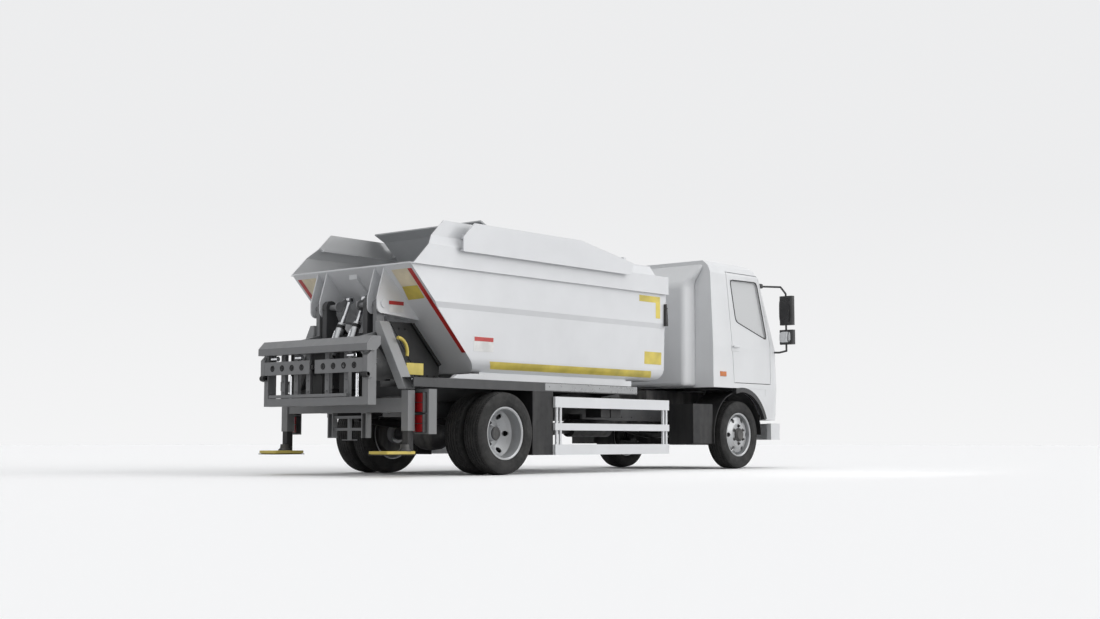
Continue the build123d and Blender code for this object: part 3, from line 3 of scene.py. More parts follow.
import bmesh
import bpy
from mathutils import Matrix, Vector


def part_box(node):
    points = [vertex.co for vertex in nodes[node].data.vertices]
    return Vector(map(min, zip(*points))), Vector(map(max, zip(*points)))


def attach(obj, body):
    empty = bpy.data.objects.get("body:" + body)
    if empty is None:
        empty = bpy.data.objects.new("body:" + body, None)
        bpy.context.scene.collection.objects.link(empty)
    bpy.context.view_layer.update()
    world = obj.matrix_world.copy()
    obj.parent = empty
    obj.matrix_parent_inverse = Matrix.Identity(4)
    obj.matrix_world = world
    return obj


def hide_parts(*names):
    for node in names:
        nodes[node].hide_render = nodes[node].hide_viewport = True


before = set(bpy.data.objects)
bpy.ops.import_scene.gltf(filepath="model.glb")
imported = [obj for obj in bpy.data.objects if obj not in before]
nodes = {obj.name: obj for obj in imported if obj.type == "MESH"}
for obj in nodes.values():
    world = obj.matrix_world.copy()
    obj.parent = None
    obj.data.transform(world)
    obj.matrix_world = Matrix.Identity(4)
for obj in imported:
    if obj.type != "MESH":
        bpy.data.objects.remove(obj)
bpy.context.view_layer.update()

# Tipping refuse truck with a rear bin lift, in metres: +X forward, +Y left, +Z up

sides = (("left", 1), ("right", -1))

# Places taken from the frame
rear_low, rear_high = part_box("rear_tyres_right")
front_low, front_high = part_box("front_tyre_right")
tyre_r = (rear_high.z - rear_low.z) / 2
hub_z = rear_low.z + tyre_r
rear_axle_x = (rear_low.x + rear_high.x) / 2
front_axle_x = (front_low.x + front_high.x) / 2
tyre_width = front_high.y - front_low.y
front_track_y = -(front_low.y + front_high.y) / 2
twin_outer_y = -rear_low.y - tyre_width / 2
twin_inner_y = -rear_high.y + tyre_width / 2


# Camera, at the photograph's viewing angle
camera_place = (-12.475, -10.692, 0.336)
camera_heading = 40.541
camera_pitch = 5.093
camera_lens = 48.106

camera_data = bpy.data.cameras.new("camera")
camera_data.lens = camera_lens
camera_data.sensor_width = 36
camera_data.clip_end = 200
camera = bpy.data.objects.new("camera", camera_data)
camera.location = camera_place
camera.rotation_euler = (radians(90 + camera_pitch), 0, radians(camera_heading - 90))
bpy.context.scene.collection.objects.link(camera)
bpy.context.scene.camera = camera


# Material tools

def set_inputs(tree, node, inputs):
    """Each input of a node is given a value, or joined to a socket."""
    for key, value in inputs.items():
        if isinstance(value, bpy.types.NodeSocket):
            tree.links.new(value, node.inputs[key])
        else:
            node.inputs[key].default_value = value


def add_node(tree, kind, inputs=None, **settings):
    """New shader node with its settings and inputs."""
    node = tree.nodes.new("ShaderNode" + kind)
    for key, value in settings.items():
        setattr(node, key, value)
    set_inputs(tree, node, inputs or {})
    return node


def new_material(name):
    """Empty node material with its shader and output joined."""
    material = bpy.data.materials.new(name)
    material.use_nodes = True
    tree = material.node_tree
    tree.nodes.clear()
    shader = add_node(tree, "BsdfPrincipled")
    add_node(tree, "OutputMaterial", {"Surface": shader.outputs["BSDF"]})
    return material, tree, shader


def noise(tree, scale, detail=4.0, stretch=(1, 1, 1)):
    """Noise in object space, stretched along the axes; returns its value socket."""
    place = add_node(tree, "TexCoord").outputs["Object"]
    mapping = add_node(tree, "Mapping", {"Vector": place, "Scale": stretch})
    inputs = {"Vector": mapping.outputs["Vector"], "Scale": scale, "Detail": detail}
    return add_node(tree, "TexNoise", inputs).outputs["Fac"]


def span(tree, value, low, high, to_low=0.0, to_high=1.0):
    """Value carried from one range to another, held at its ends."""
    return add_node(tree, "MapRange", {
        "Value": value, "From Min": low, "From Max": high, "To Min": to_low, "To Max": to_high,
    }).outputs["Result"]


def blend_colour(tree, factor, first, second):
    """Mix of two colours, each a socket or a colour."""
    first, second = ((*c, 1) if isinstance(c, tuple) else c for c in (first, second))
    mix = add_node(tree, "Mix", data_type="RGBA")
    set_inputs(tree, mix, {0: factor, 6: first, 7: second})
    return mix.outputs[2]


def shades(tree, factor, colour, share):
    """Mix of a colour and the same colour times a share."""
    return blend_colour(tree, factor, colour, tuple(c * share for c in colour))


def maths(tree, operation, first, second):
    """Result of an operation on two value sockets."""
    return add_node(tree, "Math", {0: first, 1: second}, operation=operation).outputs[0]


def part_of(tree, vector, name):
    """One coordinate of a vector socket."""
    return add_node(tree, "SeparateXYZ", {"Vector": vector}).outputs[name]


def bump(tree, shader, height, strength, distance):
    """Bump from a height socket."""
    node = add_node(tree, "Bump", {"Height": height, "Strength": strength, "Distance": distance})
    set_inputs(tree, shader, {"Normal": node.outputs["Normal"]})


def worn_edges(tree, radius, low=0.10, high=0.45):
    """Mask that is 1 on hard edges, where the rounded normal departs from the true one."""
    rounded = add_node(tree, "Bevel", {"Radius": radius}, samples=4).outputs["Normal"]
    true = add_node(tree, "NewGeometry").outputs["Normal"]
    dot = add_node(tree, "VectorMath", {0: rounded, 1: true}, operation="DOT_PRODUCT")
    return span(tree, dot.outputs["Value"], 1 - low, 1 - high)


def painted(name, colour, rough=0.4, metallic=0.0, coat=0.0, grime_share=0.15, peel=0.006,
            chips=0.0, inward_shade=None, gloss=0.5):
    """Paint with a mottle, grime that grows towards the ground, peel and chipped edges; where
    given, a painted shade darkens faces that look in towards the truck's middle.
    """
    grime, chip_colour = (0.25, 0.24, 0.22), (0.30, 0.29, 0.28)
    material, tree, shader = new_material(name)
    base = shades(tree, span(tree, noise(tree, 2.3, 5), 0.3, 0.75), colour, 0.93)
    geometry = add_node(tree, "NewGeometry").outputs
    height = span(tree, part_of(tree, geometry["Position"], "Z"), 0.2, 1.9, 1.0, 0.15)
    streaks = span(tree, noise(tree, 9.0, 6, (1, 1, 0.16)), 0.42, 0.80, 0.0, grime_share)
    base = blend_colour(tree, maths(tree, "MULTIPLY", height, streaks), base, grime)
    # Painted shade: faces that look in towards the truck's middle are blended to a darker colour
    if inward_shade:
        place = part_of(tree, add_node(tree, "TexCoord").outputs["Object"], "Y")
        inward_shade_mask = maths(tree, "MULTIPLY", place, part_of(tree, geometry["Normal"], "Y"))
        base = blend_colour(tree, span(tree, inward_shade_mask, -0.05, -0.10), base, inward_shade)
    if chips:
        spots = span(tree, noise(tree, 55, 3), 0.46, 0.62, 0.0, chips)
        worn = maths(tree, "MULTIPLY", worn_edges(tree, 0.004), spots)
        base = blend_colour(tree, worn, base, chip_colour)
    scuffs = span(tree, noise(tree, 14, 6), 0.3, 0.8, rough * 0.82, min(1.0, rough * 1.28))
    set_inputs(tree, shader, {
        "Base Color": base, "Roughness": scuffs, "Metallic": metallic,
        "Specular IOR Level": gloss, "Coat Weight": coat, "Coat Roughness": 0.12,
    })
    if peel:
        bump(tree, shader, noise(tree, 420, 2), peel, 0.001)
    return material


def bare_metal(name, colour, rough, brushed=(1, 1, 1), scale=40):
    """Metal with drawn or machined lines."""
    material, tree, shader = new_material(name)
    lines = noise(tree, scale, 5, brushed)
    set_inputs(tree, shader, {
        "Base Color": shades(tree, span(tree, lines, 0.3, 0.7), colour, 0.8),
        "Roughness": span(tree, lines, 0.2, 0.8, rough * 0.7, rough * 1.3),
        "Metallic": 1.0,
    })
    bump(tree, shader, lines, 0.08, 0.0006)
    return material


def rubber(name, colour, dust, rough=0.75):
    """Tyre rubber, greyer where it has rolled in dust."""
    material, tree, shader = new_material(name)
    patches = span(tree, noise(tree, 8, 6), 0.35, 0.75)
    set_inputs(tree, shader, {
        "Base Color": blend_colour(tree, patches, colour, dust),
        "Roughness": span(tree, noise(tree, 30, 4), 0.3, 0.7, rough - 0.1, rough + 0.1),
        "Specular IOR Level": 0.35,
    })
    bump(tree, shader, noise(tree, 260, 3), 0.12, 0.001)
    return material


def plastic(name, colour, rough=0.5, grain=380, grain_depth=0.12):
    """Moulded plastic with a fine grain."""
    material, tree, shader = new_material(name)
    fade = span(tree, noise(tree, 5, 4), 0.35, 0.75)
    faded = tuple(min(1, c * 1.5 + 0.01) for c in colour)
    set_inputs(tree, shader, {
        "Base Color": blend_colour(tree, fade, colour, faded),
        "Roughness": span(tree, noise(tree, 22, 4), 0.3, 0.7, rough - 0.08, rough + 0.08),
    })
    bump(tree, shader, noise(tree, grain, 2), grain_depth, 0.0008)
    return material


def lens(name, colour):
    """Ribbed coloured lamp lens."""
    material, tree, shader = new_material(name)
    place = add_node(tree, "TexCoord").outputs["Object"]
    ribs = add_node(
        tree, "TexWave", {"Scale": 36, "Vector": place}, bands_direction="Z"
    ).outputs["Fac"]
    dark = tuple(c * 0.55 for c in colour)
    set_inputs(tree, shader, {
        "Base Color": blend_colour(tree, ribs, dark, colour), "Roughness": 0.16,
        "Coat Weight": 0.6,
    })
    bump(tree, shader, ribs, 0.5, 0.001)
    return material


def pane(name, colour, clear):
    """Window glass with a thin film of dust in its roughness; its light grey, mostly opaque colour
    is a painted reflection.
    """
    material, tree, shader = new_material(name)
    set_inputs(tree, shader, {
        "Base Color": (*colour, 1), "Transmission Weight": clear, "IOR": 1.3,
        "Roughness": span(tree, noise(tree, 6, 5), 0.4, 0.8, 0.03, 0.12),
    })
    return material


def cloth(name, colour):
    """Woven seat cloth."""
    material, tree, shader = new_material(name)
    place = add_node(tree, "TexCoord").outputs["Object"]
    weave = add_node(tree, "TexChecker", {"Scale": 320, "Vector": place}).outputs["Fac"]
    set_inputs(tree, shader, {
        "Base Color": shades(tree, weave, colour, 1.6), "Roughness": 0.9, "Sheen Weight": 0.3,
    })
    bump(tree, shader, weave, 0.3, 0.0008)
    return material


tub_white = (0.72, 0.73, 0.745)
# Darker colour used as painted shade on the tub's inward-facing faces
tub_painted_shade = (0.40, 0.405, 0.41)
white = painted("white_paint", tub_white, 0.38, coat=0.25, grime_share=0.05, peel=0)
# Tub sides: white paint with painted shade on their inward-facing faces
side_white_inner_shade = painted(
    "side_paint_inner_shade", tub_white, 0.38, coat=0.25, grime_share=0.05, peel=0, inward_shade=tub_painted_shade
)
cab_white = painted("cab_paint", (0.74, 0.75, 0.76), 0.34, coat=0.3, grime_share=0.02, peel=0)
tub_inside = painted("tub_inside", (0.42, 0.43, 0.44), 0.5, grime_share=0.4, chips=0.4)
chassis_grey = painted(
    "chassis_grey", (0.050, 0.051, 0.053), 0.42, grime_share=0.12, chips=0.3, gloss=0.35
)
lift_grey = painted("lift_grey", (0.195, 0.198, 0.203), 0.45, grime_share=0.2, chips=0.6)
black_paint = painted("black_paint", (0.016, 0.016, 0.017), 0.5, grime_share=0.12, gloss=0.3)
chassis_dark = painted(
    "chassis_dark", (0.013, 0.0135, 0.014), 0.45, grime_share=0.06, chips=0.2, gloss=0.2
)
brace_grey = painted("brace_grey", (0.30, 0.305, 0.31), 0.42, grime_share=0.3, chips=0.5)
dark_glass = plastic("dark_glass", (0.010, 0.010, 0.011), 0.12, 30, 0.0)
# Light grey metal for the plate on the skirt, its colour partly a painted highlight
skirt_metal_and_highlight = painted("skirt_metal_and_highlight", (0.30, 0.305, 0.31), 0.3, metallic=0.6, grime_share=0.1)
mirror_metal = bare_metal("mirror_metal", (0.80, 0.81, 0.82), 0.05, (1, 1, 1), 3)
cast = painted("cast_iron", (0.03, 0.03, 0.032), 0.6, grime_share=0.7, peel=0.2)
wheel_paint = painted("wheel_paint", (0.46, 0.47, 0.48), 0.33, metallic=0.35, grime_share=0.5)
tank_metal = bare_metal("tank_metal", (0.55, 0.56, 0.57), 0.3, (8, 1, 1))
rod_metal = bare_metal("rod_metal", (0.75, 0.76, 0.78), 0.16, (1, 1, 1), 90)
barrel_metal = bare_metal("barrel_metal", (0.50, 0.51, 0.52), 0.32, (1, 1, 1), 60)
tyre_rubber = rubber("tyre_rubber", (0.012, 0.012, 0.012), (0.035, 0.034, 0.033))
black_plastic = plastic("black_plastic", (0.016, 0.016, 0.017), 0.5)
yellow_paint = painted("yellow_paint", (0.66, 0.52, 0.10), 0.4, grime_share=0.3, chips=0.4)
red_lens = lens("red_lens", (0.42, 0.012, 0.015))
orange_lens = lens("orange_lens", (0.75, 0.20, 0.02))
clear_lens = lens("clear_lens", (0.75, 0.77, 0.80))
# Light grey, mostly opaque glass: its colour is a painted reflection
glass_painted_reflection = pane("glass_painted_reflection", (0.70, 0.71, 0.715), 0.14)
seat_cloth = cloth("seat_cloth", (0.035, 0.036, 0.04))

node_finish = {
    white: (
        "tub_floor", "tub_rear_slope", "tub_front_wall", "side_guard_left", "side_guard_right",
    ),
    side_white_inner_shade: ("tub_side_left", "tub_side_right"),
    cab_white: ("bumper", "cab_body", "cab_front", "cab_roof", "door_left", "door_right"),
    tub_inside: ("packer_plate",),
    chassis_grey: ("frame_rails", "subframe", "hinge_towers", "cab_floor"),
    lift_grey: ("lift_arms", "lift_frame", "rear_beam"),
    black_paint: (
        "leaf_springs", "mudguards", "splash_panels", "exhaust", "tip_barrel", "side_boxes",
        "stabiliser_leg_left", "stabiliser_leg_right",
    ),
    cast: ("rear_axle", "front_axle", "engine_block", "knuckle_left", "knuckle_right", "tie_rod"),
    wheel_paint: ("front_rim_left", "front_rim_right", "rear_rims_left", "rear_rims_right"),
    tyre_rubber: ("front_tyre_left", "front_tyre_right", "rear_tyres_left", "rear_tyres_right"),
    rod_metal: ("lift_rods", "tip_rod"),
    barrel_metal: ("tip_stage", "lift_barrels"),
    black_plastic: ("cab_trim", "dashboard", "mirrors", "grille"),
    tank_metal: ("fuel_tank",),
    yellow_paint: ("stabiliser_pad_left", "stabiliser_pad_right"),
    red_lens: ("rear_lamps",),
    clear_lens: ("headlamps",),
    glass_painted_reflection: ("windscreen", "door_glass_left", "door_glass_right"),
    seat_cloth: ("seats",),
}
finish_slot = {
    # slot of a piece that names none
    white: "white_panel", cab_white: "white_panel", chassis_grey: "chassis_grey",
    chassis_dark: "chassis_grey", brace_grey: "chassis_grey", lift_grey: "lift_grey",
    black_paint: "dark_metal", cast: "cast_dark", tyre_rubber: "tyre", rod_metal: "rod_chrome",
    tank_metal: "tank_aluminium", skirt_metal_and_highlight: "tank_aluminium", black_plastic: "dark_plastic",
    yellow_paint: "yellow_paint", orange_lens: "lamp_red", seat_cloth: "seat_fabric",
    dark_glass: "rod_chrome", mirror_metal: "rod_chrome",
}
flat_angle, piece_flat_angle = 28, 35
for finish, names in node_finish.items():
    for name in names:
        nodes[name].data.materials.clear()
        nodes[name].data.materials.append(finish)
        nodes[name].data.set_sharp_from_angle(angle=radians(flat_angle))


# Mesh tools

def piece(name, form, finish, body, slot=None, smooth=False, edge=0.0):
    """Object of one mesh or a list of them that rides on a body, its edges bevelled by a width."""
    vertices, faces = joined(form) if isinstance(form, list) else form
    slot = slot or finish_slot[finish]
    mesh = bpy.data.meshes.new(name)
    mesh.from_pydata([tuple(v) for v in vertices], [], faces)
    mesh.materials.append(finish)
    mesh.validate()
    work = bmesh.new()
    work.from_mesh(mesh)
    bmesh.ops.recalc_face_normals(work, faces=work.faces)
    work.to_mesh(mesh)
    work.free()
    obj = bpy.data.objects.new(name, mesh)
    bpy.context.scene.collection.objects.link(obj)
    if smooth:
        mesh.shade_smooth()
        mesh.set_sharp_from_angle(angle=radians(piece_flat_angle))
    if edge:
        bevel = obj.modifiers.new("edges", "BEVEL")
        bevel.width = edge
        bevel.segments = 2
        bevel.limit_method = "ANGLE"
    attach(obj, body)
    return obj


def joined(parts):
    """Vertices and faces of several meshes as one mesh."""
    vertices, faces = [], []
    for own, own_faces in parts:
        start = len(vertices)
        vertices += own
        faces += [tuple(start + i for i in face) for face in own_faces]
    return vertices, faces


def prism(outline, low, high, axis):
    """Solid between two planes across an axis, from an outline of the other two coordinates."""
    at = {"x": lambda u, v, w: (w, u, v), "y": lambda u, v, w: (u, w, v)}[axis]
    count = len(outline)
    vertices = [at(u, v, low) for u, v in outline] + [at(u, v, high) for u, v in outline]
    faces = [tuple(range(count)), tuple(range(count, 2 * count))]
    faces += [(i, (i + 1) % count, count + (i + 1) % count, count + i) for i in range(count)]
    return vertices, faces


def rectangle(u, v):
    """Corners between two pairs of limits, in turn."""
    return [(u[0], v[0]), (u[1], v[0]), (u[1], v[1]), (u[0], v[1])]


def brick(x, y, z):
    """Block between three pairs of limits."""
    return prism(rectangle(x, z), y[0], y[1], "y")


def mirrored(s, near, far):
    """Limits across the truck on one side, from two distances from its middle."""
    return sorted((s * near, s * far))


def opening_bars(x, y, z, width, s):
    """Four bars round a lamp's opening."""
    outer_y = mirrored(s, y[0] - width, y[1] + width)
    return [
        brick(x, outer_y, (z[1], z[1] + width)),
        brick(x, outer_y, (z[0] - width, z[0])),
        brick(x, mirrored(s, y[0] - width, y[0]), z),
        brick(x, mirrored(s, y[1], y[1] + width), z),
    ]


def across(direction):
    """Two unit vectors square to a direction and to each other."""
    direction = Vector(direction).normalized()
    helper = Vector((0, 0, 1)) if abs(direction.z) < 0.9 else Vector((1, 0, 0))
    first = direction.cross(helper).normalized()
    return first, direction.cross(first)


def lathe(profile, centre, direction, steps=40, ring=False):
    """Turned form; its profile is (distance along the axis, radius), a closed loop for a ring."""
    direction = Vector(direction).normalized()
    first, second = across(direction)
    count = len(profile)
    vertices = []
    for step in range(steps):
        angle = 2 * pi * step / steps
        spoke = first * cos(angle) + second * sin(angle)
        vertices += [tuple(Vector(centre) + direction * d + spoke * r) for d, r in profile]
    faces = []
    for step in range(steps):
        this, after = step * count, ((step + 1) % steps) * count
        for i in range(count if ring else count - 1):
            j = (i + 1) % count
            faces.append((this + i, after + i, after + j, this + j))
    if not ring:
        faces.append(tuple(step * count for step in range(steps)))
        faces.append(tuple(step * count + count - 1 for step in range(steps)))
    return vertices, faces


def bent(points, bend):
    """Points of a pipe's line with each corner turned into a short curve."""
    line = [Vector(points[0])]
    for before, corner, after in zip(points, points[1:], points[2:]):
        before, corner, after = Vector(before), Vector(corner), Vector(after)
        start = corner + (before - corner).normalized() * bend
        end = corner + (after - corner).normalized() * bend
        for step in range(5):
            t = step / 4
            line.append(start * (1 - t) ** 2 + corner * 2 * t * (1 - t) + end * t * t)
    line.append(Vector(points[-1]))
    return line


def tube(line, radius, steps=10, closed=False):
    """Round pipe along a line of points."""
    line = [Vector(point) for point in line]
    count = len(line)
    vertices = []
    side = None
    for i, point in enumerate(line):
        before = line[i - 1] if i or closed else point
        after = line[(i + 1) % count] if i < count - 1 or closed else point
        along = (after - before).normalized()
        side = across(along)[0] if side is None else (side - along * side.dot(along)).normalized()
        other = along.cross(side)
        for step in range(steps):
            angle = 2 * pi * step / steps
            vertices.append(tuple(point + (side * cos(angle) + other * sin(angle)) * radius))
    faces = []
    for i in range(count if closed else count - 1):
        this, after = i * steps, ((i + 1) % count) * steps
        for j in range(steps):
            k = (j + 1) % steps
            faces.append((this + j, this + k, after + k, after + j))
    if not closed:
        faces.append(tuple(range(steps)))
        faces.append(tuple((count - 1) * steps + j for j in range(steps)))
    return vertices, faces


def bolt(centre, direction, size):
    """Washer and hexagon head that stand on a face."""
    washer = lathe([(0, size * 0.95), (size * 0.16, size * 0.9)], centre, direction, 18)
    head = lathe([(size * 0.14, size * 0.62), (size * 0.6, size * 0.62), (size * 0.7, size * 0.5)],
                 centre, direction, 6)
    return joined([washer, head])


face_gap = 0.0004


def thin_plate(corners, outward, gauge, gap=face_gap):
    """Thin plate on a flat face, its corners given in turn, with slanting edges."""
    corners = [Vector(corner) for corner in corners]
    normal = (corners[1] - corners[0]).cross(corners[2] - corners[1]).normalized()
    if normal.dot(Vector(outward)) < 0:
        normal = -normal
    middle = sum(corners, Vector()) / len(corners)
    count = len(corners)
    vertices = [tuple(corner + normal * gap) for corner in corners]
    vertices += [
        tuple(corner + normal * (gap + gauge) + (middle - corner).normalized() * gauge)
        for corner in corners
    ]
    faces = [tuple(range(count)), tuple(range(count, 2 * count))]
    faces += [(i, (i + 1) % count, count + (i + 1) % count, count + i) for i in range(count)]
    return vertices, faces


def side_sheet(x, z, y, s, gauge, gap=face_gap):
    """Thin upright rectangle on a face at a distance from the truck's middle."""
    return thin_plate([(u, s * y, v) for u, v in rectangle(x, z)], (0, s, 0), gauge, gap)


def power(value, exponent):
    """Power of a value's size, with the value's sign."""
    return abs(value) ** exponent * (1 if value >= 0 else -1)


def face_at(node, origin, direction):
    """Place where a ray first meets a node, or None."""
    hit, place, _, _ = nodes[node].ray_cast(Vector(origin), Vector(direction))
    return place if hit else None


# Tyres: turned profile with grooves round the tread, and blocks cut across its ribs
wall_points = (
    # distance from the middle, radius
    (0.0845, 0.2605), (0.0935, 0.2625), (0.1010, 0.2700), (0.1040, 0.2760), (0.1085, 0.2860),
    (0.1085, 0.2880), (0.1100, 0.2900), (0.1118, 0.3080), (0.1124, 0.3220), (0.1118, 0.3380),
    (0.1104, 0.3520), (0.1110, 0.3530), (0.1086, 0.3640), (0.1035, 0.3790), (0.0980, 0.3890),
    (0.0925, 0.3950),
)
groove_y = (0.0, 0.032, 0.064)
groove_half = 0.0045
groove_depth = 0.011
tread_half = 0.0925
crown_drop, crown_power = 0.0125, 2.6
shoulder_cut, rib_cut = 0.007, 0.004
pitch_count, pitch_steps = 90, 4


def crown_r(y):
    """Radius of the tread's slightly round face."""
    return tyre_r - crown_drop * (abs(y) / tread_half) ** crown_power


def tread_points():
    """Half profile of the tread from its middle out: (y, radius, rib number or -1 in a groove)."""
    points = []
    for rib, y in enumerate(groove_y):
        if y > 0:
            points.append((y - groove_half, crown_r(y), rib - 1))
            points.append((y - groove_half * 0.6, crown_r(y) - groove_depth, -1))
        points.append((y + groove_half * 0.6, crown_r(y) - groove_depth, -1))
        points.append((y + groove_half, crown_r(y), rib))
    points.append((tread_half, crown_r(tread_half), 2))
    return points


def tyre_mesh(centre_y):
    """Rings of vertices round one tyre, and the faces between them."""
    half = tread_points()
    wall = [(y, r, -2) for y, r in wall_points]
    profile = wall + half[::-1] + [(-y, r, rib) for y, r, rib in half]
    profile += [(-y, r, rib) for y, r, rib in reversed(wall)]
    steps = pitch_count * pitch_steps
    vertices, faces = [], []
    for step in range(steps):
        angle = 2 * pi * step / steps
        for y, r, rib in profile:
            cut = 0.0
            if rib == 2 and step % pitch_steps == 0:
                cut = shoulder_cut
            elif rib in (0, 1) and (step + 2 * rib) % (2 * pitch_steps) == 0:
                cut = rib_cut
            vertices.append(((r - cut) * cos(angle), centre_y + y, (r - cut) * sin(angle)))
    count = len(profile)
    for step in range(steps):
        this, after = step * count, ((step + 1) % steps) * count
        for i in range(count - 1):
            faces.append((this + i, after + i, after + i + 1, this + i + 1))
        faces.append((this + count - 1, after + count - 1, after, this))
    return vertices, faces


def tyre_piece(name, axle_x, centres, body, node):
    """One or two tyres on an axle, in place of the plain solid."""
    vertices, faces = joined([tyre_mesh(centre_y) for centre_y in centres])
    vertices = [(x + axle_x, y, z + hub_z) for x, y, z in vertices]
    obj = piece(name, (vertices, faces), tyre_rubber, body, smooth=True)
    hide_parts(node)


for side, s in sides:
    tyre_piece(
        f"tread_front_{side}", front_axle_x, (s * front_track_y,), f"front_wheel_{side}",
        f"front_tyre_{side}",
    )
    tyre_piece(
        f"tread_rear_{side}", rear_axle_x, (s * twin_outer_y, s * twin_inner_y),
        f"rear_wheels_{side}", f"rear_tyres_{side}",
    )


# Stripes and bare plates on the tub
lip_x, lip_z = rear_axle_x - 1.138, 1.987
foot_x, foot_z = rear_axle_x - 0.174, 1.0
side_low_z, side_low_y = 1.15, 0.815
side_step_z, side_step_y = 1.60, 0.830
side_high_y = 0.850
foot_round_r = 0.150
sticker_gauge = 0.0016


def on_slope(x, y):
    """Place on the tub's sloping rear face."""
    share = (x - lip_x) / (foot_x - lip_x)
    return (x, y, lip_z + (foot_z - lip_z) * share)


def on_side(x, z, s):
    """Place on the tub's side."""
    if z > side_step_z:
        return (x, s * side_high_y, z)
    share = (z - side_low_z) / (side_step_z - side_low_z)
    return (x, s * (side_low_y + (side_step_y - side_low_y) * share), z)


sign_red = plastic("sign_red", (0.40, 0.022, 0.018), 0.35, 600, 0.04)
sign_cream = plastic("sign_cream", (0.62, 0.55, 0.40), 0.4, 600, 0.04)
sign_yellow = plastic("sign_yellow", (0.52, 0.42, 0.075), 0.4, 600, 0.04)
sign_white = plastic("sign_white", (0.62, 0.62, 0.61), 0.4, 600, 0.04)
finish_slot[sign_red] = "lamp_red"
finish_slot[sign_yellow] = "yellow_paint"
finish_slot[sign_cream] = finish_slot[sign_white] = "white_panel"
slope_plates = (
    # name, finish, corners as (x, distance from the middle)
    ("slope_stripe", sign_red,
     ((-2.928, 0.764), (-2.928, 0.818), (-2.186, 0.818), (-2.186, 0.764))),
    ("slope_sign_high", sign_cream,
     ((-2.929, 0.547), (-2.929, 0.762), (-2.790, 0.756), (-2.787, 0.543))),
    ("slope_sign_low", sign_yellow,
     ((-2.785, 0.545), (-2.786, 0.755), (-2.674, 0.742), (-2.669, 0.515))),
)
side_plates = (
    # name, finish, x limits, z limits
    ("side_sign", sign_white, (-2.077, -1.791), (1.206, 1.353)),
    ("side_sign_head", sign_red, (-2.070, -1.798), (1.306, 1.347)),
    ("side_sign_front", sign_yellow, (0.692, 1.010), (1.190, 1.330)),
    ("corner_mark_top", sign_yellow, (0.563, 0.951), (1.885, 1.955)),
    ("corner_mark_side", sign_yellow, (0.868, 0.951), (1.710, 1.885)),
)
slope_out = (-0.715, 0, -0.699)
head_gap = 0.0022
strip_x, strip_angles, strip_slant, strip_steps = (-1.84, 0.82), (14, 46), 0.05, 6
strip_gaps = (0.0004, 0.002)
ear_face_y = 0.4815
ear_x, ear_z, ear_head = (-2.895, -2.702), (1.555, 1.662), 0.036
ear_pin_x, ear_pin_z = rear_axle_x - 1.130, 1.630
catch_y, catch_x, catch_low_z, catch_high_z = (0.849, 0.884), 1.037, 1.63, 1.88
catch_outline = (
    # x, z
    (1.018, catch_low_z), (1.060, catch_low_z), (1.060, 1.70), (1.040, catch_high_z),
    (1.022, catch_high_z),
)
foot_rail_y = (0.760, 0.812)
foot_rail_outline = (
    # x, z
    (-2.36, 0.930), (-1.9, 0.930), (-1.9, 0.985), (-2.10, 0.985), (-2.30, 0.968),
)


def foot_strip(s):
    """Strip that follows the rounded foot of the tub's side."""
    rows = []
    for i in range(strip_steps + 1):
        angle = radians(
            strip_angles[0] + (strip_angles[1] - strip_angles[0]) * i / strip_steps
        )
        slant = strip_slant * i / strip_steps
        for gap in strip_gaps:
            r = foot_round_r + gap
            y = s * (side_low_y - foot_round_r + r * cos(angle))
            z = side_low_z - r * sin(angle)
            rows.append(((strip_x[0] + slant, y, z), (strip_x[1] + slant, y, z)))
    vertices = [end for row in rows for end in row]
    faces = []
    for i in range(strip_steps):
        a, b = 4 * i, 4 * (i + 1)
        faces += [
            (a, a + 1, b + 1, b), (a + 2, b + 2, b + 3, a + 3),
            (a, b, b + 2, a + 2), (a + 1, a + 3, b + 3, b + 1),
        ]
    last = 4 * strip_steps
    faces += [(0, 2, 3, 1), (last, last + 1, last + 3, last + 2)]
    return vertices, faces


for side, s in sides:
    for name, finish, corners in slope_plates:
        mesh = thin_plate([on_slope(x, s * y) for x, y in corners], slope_out, sticker_gauge)
        piece(f"{name}_{side}", mesh, finish, "tub")
    for name, finish, x, z in side_plates:
        gap = head_gap if name.endswith("head") else face_gap
        corners = [on_side(u, v, s) for u, v in rectangle(x, z)]
        mesh = thin_plate(corners, (0, s, 0), sticker_gauge, gap)
        piece(f"{name}_{side}", mesh, finish, "tub")
    piece(f"foot_strip_{side}", foot_strip(s), sign_yellow, "tub", smooth=True)
    # Plate on the outer ear, a white sheet with a red head
    sheet = side_sheet(ear_x, ear_z, ear_face_y, s, sticker_gauge)
    piece(f"ear_sign_{side}", sheet, sign_white, "tub")
    head_z = (ear_z[1] - ear_head, ear_z[1])
    sheet = side_sheet(ear_x, head_z, ear_face_y, s, sticker_gauge, head_gap)
    piece(f"ear_sign_head_{side}", sheet, sign_red, "tub")
    cap = lathe(
        [(0, 0.040), (0.009, 0.040), (0.011, 0.036)], (ear_pin_x, s * ear_face_y, ear_pin_z),
        (0, s, 0), 40,
    )
    piece(f"ear_cap_{side}", cap, white, "tub")
    # Catch at the front corner of the tub
    catch = [prism(catch_outline, *mirrored(s, *catch_y), "y")]
    for z in (catch_low_z + 0.03, catch_high_z - 0.05):
        catch.append(bolt((catch_x, s * catch_y[1], z), (0, s, 0), 0.012))
    piece(f"tub_catch_{side}", catch, black_plastic, "tub", edge=0.003)
    # White rail that carries the tub's foot on along the subframe
    rail = prism(foot_rail_outline, *mirrored(s, *foot_rail_y), "y")
    piece(f"foot_rail_{side}", rail, white, "tub", edge=0.004)


